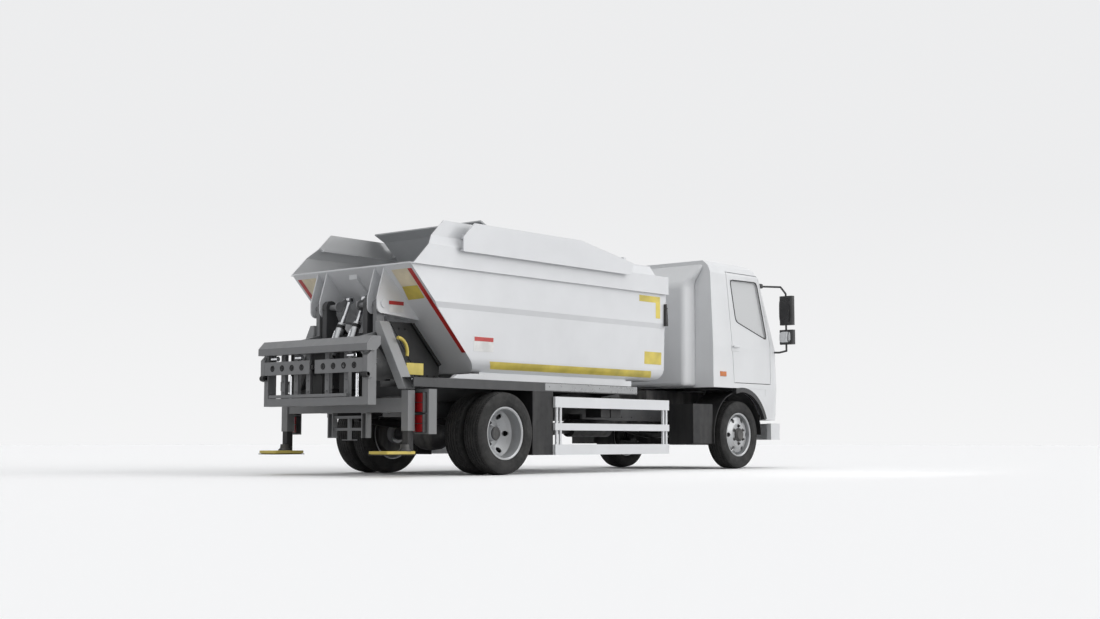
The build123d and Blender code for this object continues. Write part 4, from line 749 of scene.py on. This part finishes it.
# Rear of the chassis: deep plates under the hinge, wide braces, tails of the skirts
plate_y, edge_lap = (0.497, 0.505), 0.022
tower_outline = (
    # x, z
    (-2.905, 1.462), (-2.625, 1.462), (-2.239, 1.068), (-2.245, 0.924), (-2.56, 0.924),
    (-2.60, 1.06),
)
tower_edge = ((-2.64, 1.462), (-2.60, 1.462), (-2.225, 1.075), (-2.255, 1.060))
tower_bolts = ((-2.50, 0.96), (-2.40, 0.96), (-2.30, 0.96), (-2.78, 1.40), (-2.70, 1.40))
brace_x = (-3.030, -2.900)
brace_outline = (
    # distance from the middle, z
    (0.862, 0.812), (0.758, 0.812), (0.441, 1.372), (0.441, 1.462), (0.498, 1.462),
)
tail_x, tail_y, tail_top_z, skirt_gauge = (-3.018, -2.706), 0.955, 0.922, 0.006
sign_y, sign_x, sign_z = 0.600, (-2.770, -2.545), (0.960, 1.072)
stay_x, stay_width = (-2.60, -2.56), 0.02
handle_x, handle_y, handle_z, handle_r = -2.925, 0.640, 1.165, 0.017
bright_x, bright_z, bright_gauge = (-1.168, 0.374), (0.842, 0.916), 0.003
valve_x = (-2.87, -2.80)
rear_pipe_z, rear_pipe_r = (0.83, 0.855, 0.88), 0.006
lamps_y, lamps_x, lamp_bar = (0.825, 0.968), (-2.917, -2.868), 0.007
lamps_z = (
    # name, z limits
    ("high", (0.600, 0.775)),
    ("low", (0.415, 0.572)),
)
rail_y, rail_bolt_x, rail_bolt_step, rail_bolt_count = 0.4, -2.8, 0.19, 24
for side, s in sides:
    tower = [
        prism(tower_outline, *mirrored(s, *plate_y), "y"),
        brick((-2.56, -2.245), mirrored(s, 0.337, plate_y[1]), (0.914, 0.926)),
        prism(tower_edge, *mirrored(s, plate_y[0] - edge_lap, plate_y[1] + edge_lap), "y"),
    ]
    tower += [bolt((x, s * plate_y[1], z), (0, s, 0), 0.016) for x, z in tower_bolts]
    piece(f"tower_side_{side}", tower, chassis_dark, "chassis", edge=0.003)
    brace = prism([(s * y, z) for y, z in brace_outline], *brace_x, "x")
    piece(f"brace_box_{side}", brace, brace_grey, "chassis", edge=0.006)
    tail = [
        brick(tail_x, mirrored(s, tail_y - skirt_gauge, tail_y), (0.832, tail_top_z)),
        brick(tail_x, mirrored(s, 0.760, tail_y), (tail_top_z - skirt_gauge, tail_top_z)),
    ]
    piece(f"skirt_tail_{side}", tail, chassis_grey, "chassis", edge=0.002)
    sign_board = brick(sign_x, mirrored(s, sign_y - 0.004, sign_y), sign_z)
    piece(f"brace_sign_{side}", sign_board, sign_yellow, "chassis", edge=0.0015)
    stays = [
        brick((x, x + stay_width), mirrored(s, 0.500, sign_y - 0.003), (1.00, 1.02))
        for x in stay_x
    ]
    piece(f"brace_sign_stays_{side}", stays, chassis_dark, "chassis", edge=0.002)
    arc = [
        (handle_x + 0.125 * sin(radians(a)), s * handle_y, handle_z + 0.135 * cos(radians(a)))
        for a in range(0, 105, 8)
    ]
    piece(f"grab_handle_{side}", tube(arc, handle_r, 12), yellow_paint, "chassis", smooth=True)
    # Lighter metal plate along the skirt; its light colour is partly a painted highlight that
    # stands in for the skirt's reflection
    bright = side_sheet(bright_x, bright_z, tail_y, s, bright_gauge)
    piece(f"skirt_plate_{side}", bright, skirt_metal_and_highlight, "chassis")
    # Valve block, its pipes and lamp frames
    valve = [brick(valve_x, mirrored(s, 0.60, 0.71), (0.81, 0.93))]
    valve += [
        bolt((valve_x[0] - 0.001, s * y, z), (-1, 0, 0), 0.012)
        for y in (0.62, 0.69) for z in (0.83, 0.91)
    ]
    piece(f"valve_block_{side}", valve, tank_metal, "chassis", edge=0.004)
    pipes = []
    for z in rear_pipe_z:
        line = [
            (-2.835, s * 0.605, z), (-2.835, s * 0.56, z), (-2.70, s * 0.43, z),
            (-2.2, s * 0.43, z),
        ]
        pipes.append(tube(bent(line, 0.03), rear_pipe_r))
    piece(f"rear_pipes_{side}", pipes, black_plastic, "chassis", smooth=True)
    for name, z in lamps_z:
        bars = opening_bars(lamps_x, lamps_y, z, lamp_bar, s)
        middle_z = (sum(z) / 2 - 0.003, sum(z) / 2 + 0.003)
        bars.append(brick((-2.9145, -2.90), mirrored(s, *lamps_y), middle_z))
        piece(f"lamp_frame_{name}_{side}", bars, black_plastic, "chassis", edge=0.0015)
    # Pipes and bolts along the frame rails
    pipe_y = s * (rail_y + 0.012)
    lines = [tube([(-2.5, pipe_y, z), (1.3, pipe_y, z)], 0.006, 8) for z in (0.712, 0.728)]
    piece(f"brake_pipes_{side}", lines, black_plastic, "chassis", smooth=True)
    heads = [
        bolt((rail_bolt_x + rail_bolt_step * i, s * rail_y, z), (0, s, 0), 0.011)
        for i in range(rail_bolt_count) for z in (0.60, 0.69)
    ]
    piece(f"rail_bolts_{side}", heads, cast, "chassis")


# Bin lift: comb details, rollers, bright rods, pins
comb_face_x = rear_axle_x - 1.590
comb_z, comb_y = 1.026, 0.370
comb_steps = (-0.216, -0.072, 0.072, 0.216)
roller_y, roller_length, roller_x, roller_z = (0.600, 0.240, -0.500), 0.09, -3.372, 1.122
rod_y, rod_x, rod_z = (-0.515, 0.425), -3.315, 0.705
rod_parts = ((0.25, 0.015), (0.05, 0.021))  # length, radius
lift_metal = []
for y in roller_y:
    profile = [
        (0, 0.020), (0.004, 0.024), (roller_length - 0.004, 0.024), (roller_length, 0.020),
    ]
    lift_metal.append(lathe(profile, (roller_x, y - roller_length / 2, roller_z), (0, 1, 0)))
for y in rod_y:
    for length, radius in rod_parts:
        lift_metal.append(
            lathe([(0, radius), (length, radius)], (rod_x, y, rod_z), (0, 0, 1), 24)
        )
piece("lift_rollers", lift_metal, rod_metal, "lift", smooth=True)
rim_profile = [(0, 0.0182), (0, 0.031), (-0.0022, 0.030), (-0.0022, 0.0182)]
rims = [
    lathe(rim_profile, (comb_face_x, s * comb_y + step, comb_z), (1, 0, 0), 28, ring=True)
    for s in (1, -1) for step in comb_steps
]
piece("comb_hole_rims", rims, chassis_dark, "lift", "dark_metal", smooth=True)
link_x = comb_face_x + 0.02
lift_dark = [
    lathe([(0, 0.013), (0.20, 0.013)], (link_x, -0.10, comb_z), (0, 1, 0), 20),
    lathe([(0, 0.024), (0.03, 0.024)], (link_x, -0.015, comb_z), (0, 1, 0), 20),
]
pin_profile = [(0, 0.024), (0.004, 0.028), (0.056, 0.028), (0.06, 0.024)]
pin_x, pin_y, pin_z = comb_face_x + 0.010, 0.735, 0.936
for s in (1, -1):
    lift_dark.append(lathe(pin_profile, (pin_x, s * pin_y - 0.03, pin_z), (0, 1, 0), 28))
    lift_dark.append(
        brick((comb_face_x + 0.002, comb_face_x + 0.05), mirrored(s, 0.700, 0.708), (0.92, 1.0))
    )
piece("lift_pins", lift_dark, black_paint, "lift", smooth=True)
lift_bars = [brick((-3.385, -3.335), (-0.44, 0.735), (0.742, 0.772))]
lift_bars += [
    bolt((-3.3405, y, z), (-1, 0, 0), 0.012)
    for y in (-0.640, -0.390, -0.120, 0.150, 0.330, 0.520) for z in (0.80, 0.90)
]
piece("lift_lower_bar", lift_bars, lift_grey, "lift", edge=0.003)
back_z = (0.715, 1.165)
centre_plates = [
    brick((-3.330, -3.285), (-0.075, 0.095), back_z),
    brick((-3.338, -3.325), (-0.055, 0.075), (0.74, 0.98)),
    brick((-3.300, -3.285), (0.395, 0.455), back_z),
    brick((-3.300, -3.285), (-0.310, -0.250), back_z),
]
centre_plates += [
    bolt((-3.3385, y, z), (-1, 0, 0), 0.011) for z in (0.77, 0.95) for y in (-0.035, 0.055)
]
piece("lift_centre_plates", centre_plates, chassis_dark, "lift", "dark_metal", edge=0.003)
beam_face_x, beam_bolt_z = -3.44 + 0.012, 1.20
beam_bolts = [
    bolt((beam_face_x, y, beam_bolt_z), (-1, 0, 0), 0.013)
    for y in (-0.7, -0.42, -0.14, 0.14, 0.42, 0.7)
]
piece("beam_bolts", beam_bolts, cast, "lift")

# Lift cylinders: rings and pipe along each barrel, from its foot towards the lever's eye
lever_length, lever_angle, cylinder_y = 0.130, radians(35), 0.112
cylinder_foot = Vector((rear_axle_x - 1.300, 0, 1.070))
lever_eye = Vector((
    ear_pin_x + lever_length * cos(lever_angle), 0, ear_pin_z + lever_length * sin(lever_angle)
))
cylinder_line = (lever_eye - cylinder_foot).normalized()
gland_profile = [
    (0, 0.0395), (0, 0.0415), (0.004, 0.0425), (0.030, 0.0425), (0.034, 0.0415),
    (0.034, 0.0395),
]
foot_ring_profile = [(0, 0.0395), (0, 0.043), (0.018, 0.043), (0.018, 0.0395)]
off = Vector((cylinder_line.z, 0, -cylinder_line.x)) * -0.052
for side, s in sides:
    foot = cylinder_foot + Vector((0, s * cylinder_y, 0))
    rings = [
        lathe(gland_profile, foot + cylinder_line * 0.375, cylinder_line, 36, ring=True),
        lathe(foot_ring_profile, foot + cylinder_line * 0.07, cylinder_line, 36, ring=True),
    ]
    piece(f"cylinder_rings_{side}", rings, black_paint, "lift_barrels", smooth=True)
    low, high = foot + cylinder_line * 0.09, foot + cylinder_line * 0.33
    feed = bent([low + off * 0.7, low + off, high + off, high + off * 0.7], 0.006)
    piece(f"cylinder_pipe_{side}", tube(feed, 0.006), rod_metal, "lift_barrels", smooth=True)


# Wheels: nuts, dark hubs, brake drums
nut_circle = 0.104
front_rim_y, rear_rim_y = 0.956, 1.015
front_drum_profile = [
    # distance from the middle, radius
    (0.742, 0.075), (0.742, 0.180), (0.752, 0.190), (0.800, 0.190), (0.810, 0.075),
]
rear_drum_profile = [
    (0.560, 0.088), (0.560, 0.196), (0.575, 0.205), (0.640, 0.205), (0.655, 0.196),
    (0.655, 0.088),
]


def wheel_detail(node, axle_x, body, s, outer_y):
    """Nuts round the hub and a stepped dark hub cover, set on the rim's own face."""
    def face(radius, degrees_round):
        angle = radians(degrees_round)
        x, z = axle_x + radius * cos(angle), hub_z + radius * sin(angle)
        place = face_at(node, (x, s * (outer_y + 0.1), z), (0, -s, 0))
        return abs(place.y) if place else outer_y - 0.12

    nuts = []
    for i in range(6):
        turn = 60 * i + 30
        y = face(nut_circle, turn)
        angle = radians(turn)
        centre = (axle_x + nut_circle * cos(angle), s * y, hub_z + nut_circle * sin(angle))
        nuts.append(bolt(centre, (0, s, 0), 0.024))
        nuts.append(lathe([(0.010, 0.008), (0.026, 0.008), (0.028, 0.006)], centre, (0, s, 0), 12))
    piece(f"nuts_{body}", nuts, cast, body, edge=0.0012)
    disc_y = face(0.082, 0)
    hub_y = max(face(0.055, 0), disc_y + 0.03)
    profile = [
        (disc_y - 0.002, 0.080), (disc_y + 0.012, 0.079), (disc_y + 0.018, 0.070),
        (hub_y - 0.004, 0.066), (hub_y + 0.003, 0.060), (hub_y + 0.004, 0.040),
        (hub_y + 0.001, 0.036), (hub_y + 0.001, 0.001),
    ]
    cover = lathe(profile, (axle_x, 0, hub_z), (0, s, 0), 48)
    piece(f"hub_{body}", cover, cast, body, smooth=True)


for side, s in sides:
    front, rear = f"front_wheel_{side}", f"rear_wheels_{side}"
    wheel_detail(f"front_rim_{side}", front_axle_x, front, s, front_rim_y)
    wheel_detail(f"rear_rims_{side}", rear_axle_x, rear, s, rear_rim_y)
    drum = lathe(rear_drum_profile, (rear_axle_x, 0, hub_z), (0, s, 0), 64, ring=True)
    piece(f"rear_drum_{side}", drum, cast, rear, smooth=True)
    drum = lathe(front_drum_profile, (front_axle_x, 0, hub_z), (0, s, 0), 64, ring=True)
    piece(f"front_drum_{side}", drum, cast, front, smooth=True)


# Stabiliser feet: rubber under the pads and a ball seat over them
leg_x, leg_y = -3.0325, 0.86
seat_profile = [(0.237, 0.062), (0.246, 0.060), (0.262, 0.044), (0.30, 0.040)]
for side, s in sides:
    sole = brick((-3.312, -2.938), mirrored(s, 0.663, 0.917), (0.2005, 0.208))
    piece(f"pad_sole_{side}", sole, tyre_rubber, f"stabiliser_{side}", edge=0.003)
    cone = lathe(seat_profile, (leg_x, s * leg_y, 0), (0, 0, 1), 32)
    piece(f"pad_seat_{side}", cone, cast, f"stabiliser_{side}", smooth=True)


# Cab: box on its back, handles, window rubber, mirror glass, wipers, slats, side lamps
box_rear_x, box_wall_x = 1.605, 1.795
box_low_z, box_top_z, box_mid_z, box_roof_z = 0.968, 2.165, 2.200, 2.432
box_half, box_wall_half, box_roof_half = 0.700, 0.765, 0.925
box_points = []
for s in (1, -1):
    box_points += [
        (box_rear_x, s * box_half, box_low_z), (box_rear_x, s * box_half, box_top_z),
        (box_wall_x, s * box_wall_half, box_low_z), (box_wall_x, s * box_wall_half, box_mid_z),
        (box_wall_x, s * box_roof_half, box_roof_z),
    ]
box_faces = [
    (0, 1, 6, 5), (1, 4, 9, 6), (2, 7, 8, 9, 4, 3), (0, 5, 7, 2),
    (0, 2, 3, 1), (5, 6, 8, 7), (1, 3, 4), (6, 9, 8),
]
box_piece = piece("cab_back_box", (box_points, box_faces), cab_white, "cab", edge=0.045)
box_piece.modifiers["edges"].segments = 5
box_piece.modifiers["edges"].angle_limit = radians(12)
# White panel over the front half of each wheel arch, and the mirrors' roots
arch_r, arch_angles, arch_y = 0.556, range(86, 18, -4), (0.984, 0.996)
for side, s in sides:
    outline = [
        (front_axle_x + arch_r * cos(radians(a)), hub_z + arch_r * sin(radians(a)))
        for a in arch_angles
    ]
    outline += [(2.936, 0.600), (2.936, 0.964), (2.445, 0.964)]
    panel = prism(outline, *mirrored(s, *arch_y), "y")
    piece(f"arch_panel_{side}", panel, cab_white, "cab", edge=0.003)
    mirror_roots = [
        brick((2.895, 2.960), mirrored(s, 0.880, 0.955), (2.205, 2.262)),
        brick((3.085, 3.150), mirrored(s, 0.935, 0.985), (1.375, 1.455)),
    ]
    piece(f"mirror_roots_{side}", mirror_roots, black_plastic, "cab", edge=0.012)
window_corners = ((4.030, 2.250), (4.118, 1.755), (4.785, 1.564), (4.610, 2.260))
handle_outline = ((2.185, 1.440), (2.315, 1.440), (2.318, 1.462), (2.182, 1.462))
door_half_y, marker_x, marker_z = 1.0, (1.926, 2.055), (1.088, 1.149)
mirror_y, mirror_half_y, mirror_power, mirror_steps = 1.11, 0.078, 0.4, 40
mirror_panes = (
    # name, finish, middle z, half height
    ("high", dark_glass, 1.940, 0.150),
    ("low", mirror_metal, 1.610, 0.065),
)


def door_y(z):
    """Distance of the door's outer face from the middle at a height."""
    return door_half_y - 0.035 * max(0.0, (z - 1.44) / 0.87) + 0.001


for side, s in sides:
    handle = [
        brick((2.170, 2.330), mirrored(s, 0.9985, 1.005), (1.395, 1.470)),
        prism(handle_outline, *mirrored(s, 1.018, 1.032), "y"),
        brick((2.186, 2.204), mirrored(s, 1.0, 1.022), (1.442, 1.460)),
        brick((2.296, 2.314), mirrored(s, 1.0, 1.022), (1.442, 1.460)),
    ]
    door = f"door_{side}"
    piece(f"door_handle_{side}", handle, cab_white, door, edge=0.003)
    loop = [(rear_axle_x + x, s * door_y(z), z) for x, z in window_corners]
    points = []
    for i in range(4):
        points += bent([loop[i - 1], loop[i], loop[(i + 1) % 4]], 0.06)[1:-1]
    rubber_line = tube(points, 0.006, 10, closed=True)
    piece(f"window_rubber_{side}", rubber_line, black_plastic, door, smooth=True)
    marker = side_sheet(marker_x, marker_z, door_half_y, s, 0.012)
    piece(f"side_marker_{side}", marker, orange_lens, "cab")
    for name, finish, z, half_z in mirror_panes:
        place = face_at("mirrors", (2.95, s * mirror_y, z), (1, 0, 0))
        if place is None:
            continue
        outline = []
        for i in range(mirror_steps):
            angle = 2 * pi * i / mirror_steps
            outline.append((
                s * mirror_y + mirror_half_y * power(cos(angle), mirror_power),
                z + half_z * power(sin(angle), mirror_power),
            ))
        glass = prism(outline, place.x - 0.003, place.x + 0.002, "x")
        piece(f"mirror_glass_{name}_{side}", glass, finish, "cab", smooth=True)
wiper_parts = []
for y in (0.52, -0.18):
    arm = [(3.352, y, 1.452), (3.348, y - 0.02, 1.50), (3.232, y - 0.30, 1.795)]
    wiper_parts.append(tube(bent(arm, 0.02), 0.007))
    wiper_parts.append(tube([(3.305, y - 0.16, 1.585), (3.150, y - 0.46, 1.975)], 0.006))
piece("wipers", wiper_parts, black_plastic, "cab", smooth=True)
slats = []
for z in (1.025, 1.060, 1.095, 1.130, 1.165):
    outline = [(3.350, z), (3.372, z - 0.006), (3.372, z + 0.004), (3.350, z + 0.012)]
    slats.append(prism(outline, -0.455, 0.455, "y"))
piece("grille_slats", slats, black_plastic, "cab", edge=0.002)


# Headlamp frames with their reflector rings, and a black sill under the grille
headlamp_x, headlamp_y, headlamp_z = (3.340, 3.3645), (0.505, 0.695), (0.635, 0.765)
headlamp_bar = 0.014
reflector_profile = [(0, 0.024), (0, 0.031), (0.003, 0.030), (0.003, 0.025)]
for side, s in sides:
    bars = opening_bars(headlamp_x, headlamp_y, headlamp_z, headlamp_bar, s)
    for y in (0.552, 0.620):
        bars.append(lathe(reflector_profile, (3.362, s * y, 0.700), (1, 0, 0), 40, ring=True))
    piece(f"headlamp_frame_{side}", bars, black_plastic, "cab", edge=0.002)
    turn_lamp = brick((3.358, 3.3665), mirrored(s, 0.660, 0.690), (0.645, 0.755))
    piece(f"turn_lamp_{side}", turn_lamp, orange_lens, "cab", edge=0.003)
sill_outline = [(3.340, 0.592), (3.352, 0.598), (3.352, 0.618), (3.340, 0.624)]
sill = prism(sill_outline, -0.700, 0.700, "y")
piece("front_sill", sill, black_plastic, "cab", edge=0.002)


# Padded seats, the driver's cushion in place of the plain solids
pad_rows, pad_columns = 56, 96
seam_depth, seam_width = 0.16, 0.035


def pad(middle, half, lean=0.0, crown=0.10, seams=()):
    """Crowned closed pad: rounded corners, sides that pull in, sewn channels; leans about Y."""
    vertices, faces = [], []
    for i in range(1, pad_rows):
        up = pi * (i / pad_rows - 0.5)
        for j in range(pad_columns):
            turn = 2 * pi * j / pad_columns
            u = power(cos(up), 0.34) * power(cos(turn), 0.30)
            v = power(cos(up), 0.34) * power(sin(turn), 0.30)
            w = power(sin(up), 0.55)
            w *= 1 - crown + crown * 2 * (1 - u * u) * (1 - v * v)
            pull = 1 - 0.03 * (1 - abs(w)) * (u * u + v * v)
            if w > 0:
                for seam in seams:
                    w -= seam_depth * exp(-((v - seam) / seam_width) ** 2)
            x, y, z = half[0] * u * pull, half[1] * v * pull, half[2] * w
            x, z = x * cos(lean) + z * sin(lean), z * cos(lean) - x * sin(lean)
            vertices.append((middle[0] + x, middle[1] + y, middle[2] + z))
    for i in range(pad_rows - 2):
        this, after = i * pad_columns, (i + 1) * pad_columns
        for j in range(pad_columns):
            k = (j + 1) % pad_columns
            faces.append((this + j, this + k, after + k, after + j))
    faces.append(tuple(range(pad_columns)))
    faces.append(tuple((pad_rows - 2) * pad_columns + j for j in range(pad_columns)))
    return vertices, faces


def seat_piece(name, mesh):
    """Padded piece of a seat."""
    return piece(name, mesh, seat_cloth, "cab", smooth=True)


seat_rows = (
    # name, y limits
    ("driver", (0.320, 0.800)),
    ("bench_outer", (-0.870, -0.400)),
    ("bench_inner", (-0.392, 0.060)),
)
seat_seams = (-0.62, 0.62)
seat_lean, back_lean = 0.03, radians(90 - 7)
for name, y in seat_rows:
    middle_y, half_y = sum(y) / 2, (y[1] - y[0]) / 2
    cushion = seat_piece(
        f"seat_cushion_{name}",
        pad((2.215, middle_y, 1.252), (0.240, half_y, 0.062), seat_lean, 0.14, seat_seams),
    )
    back = seat_piece(
        f"seat_back_{name}",
        pad((2.005, middle_y, 1.570), (0.265, half_y - 0.01, 0.046), -back_lean, 0.14, seat_seams),
    )
    rest = seat_piece(
        f"head_rest_{name}",
        pad((1.973, middle_y, 1.838), (0.055, 0.125, 0.040), -back_lean, 0.10),
    )
    if name == "driver":
        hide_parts("seats")
base_x, base_z = (2.000, 2.420), (0.998, 1.188)
base_parts = [brick(base_x, y, base_z) for y in ((0.360, 0.760), (-0.840, -0.320))]
piece("seat_bases", base_parts, black_plastic, "cab", edge=0.02)


# Floor, backdrop and light
def seen_ray(tree):
    """1 for rays of the camera, in mirrors and through glass; 0 for rays that only light."""
    rays = add_node(tree, "LightPath").outputs
    seen = maths(tree, "MAXIMUM", rays["Is Camera Ray"], rays["Is Glossy Ray"])
    return maths(tree, "MAXIMUM", seen, rays["Is Transmission Ray"])


floor_half, floor_level = 90, 0.0
floor_limits = (-floor_half, floor_half)
floor_mesh = bpy.data.meshes.new("floor")
floor_mesh.from_pydata(
    [(x, y, floor_level) for x, y in rectangle(floor_limits, floor_limits)], [], [(0, 1, 2, 3)]
)
floor = bpy.data.objects.new("floor", floor_mesh)
bpy.context.scene.collection.objects.link(floor)
floor_seen = (0.975, 0.975, 0.977)
floor_bounce = (0.46, 0.46, 0.465)
floor_material, floor_tree, floor_shader = new_material("floor_white")
set_inputs(floor_tree, floor_shader, {
    "Base Color": blend_colour(floor_tree, seen_ray(floor_tree), floor_bounce, floor_seen),
    "Roughness": span(floor_tree, noise(floor_tree, 0.8, 3), 0.3, 0.7, 0.75, 0.85),
    "Specular IOR Level": 0.1,
})
floor_mesh.materials.append(floor_material)

sky_light, sky_strength = (0.97, 0.98, 1.0), 0.42
sky_low, sky_high, sky_fade = (0.905, 0.907, 0.912), (0.845, 0.848, 0.856), 0.16
world = bpy.data.worlds.new("studio")
bpy.context.scene.world = world
world.use_nodes = True
world_tree = world.node_tree
world_tree.nodes.clear()
lit = add_node(world_tree, "Background", {"Color": (*sky_light, 1), "Strength": sky_strength})
sky_height = span(
    world_tree, part_of(world_tree, add_node(world_tree, "TexCoord").outputs["Generated"], "Z"),
    0.0, sky_fade,
)
sky_colour = blend_colour(world_tree, sky_height, sky_low, sky_high)
seen = add_node(world_tree, "Background", {"Color": sky_colour, "Strength": 1.0})
choose = add_node(world_tree, "MixShader", {
    "Fac": seen_ray(world_tree), 1: lit.outputs["Background"], 2: seen.outputs["Background"],
})
add_node(world_tree, "OutputWorld", {"Surface": choose.outputs["Shader"]})


def far_light(name, towards, strength, width):
    """Even light over the whole scene from one direction, as wide as a large soft lamp."""
    data = bpy.data.lights.new(name, "SUN")
    data.energy = strength
    data.angle = radians(width)
    light = bpy.data.objects.new(name, data)
    light.rotation_euler = (-Vector(towards)).to_track_quat("-Z", "Y").to_euler()
    bpy.context.scene.collection.objects.link(light)


for name, towards, strength, width in (
    ("side_light", (0.45, -0.85, 0.42), 1.42, 50),
    ("top_light", (-0.12, -0.10, 1.0), 1.05, 70),
    ("rear_light", (-1.0, -0.25, 0.12), 0.30, 60),
):
    far_light(name, towards, strength, width)

# Lamp beside the tub's front corner, aimed at the tub's side
lamp_place, lamp_aim, lamp_watts = Vector((0.9, -4.5, 1.9)), Vector((0.8, -0.85, 1.45)), 12
front_data = bpy.data.lights.new("front_light", "AREA")
front_data.shape = "RECTANGLE"
front_data.size, front_data.size_y = 1.6, 1.2
front_data.energy = lamp_watts
front_light = bpy.data.objects.new("front_light", front_data)
front_light.location = lamp_place
front_light.rotation_euler = (lamp_aim - lamp_place).to_track_quat("-Z", "Y").to_euler()
bpy.context.scene.collection.objects.link(front_light)

bpy.context.scene.view_settings.view_transform = "Standard"
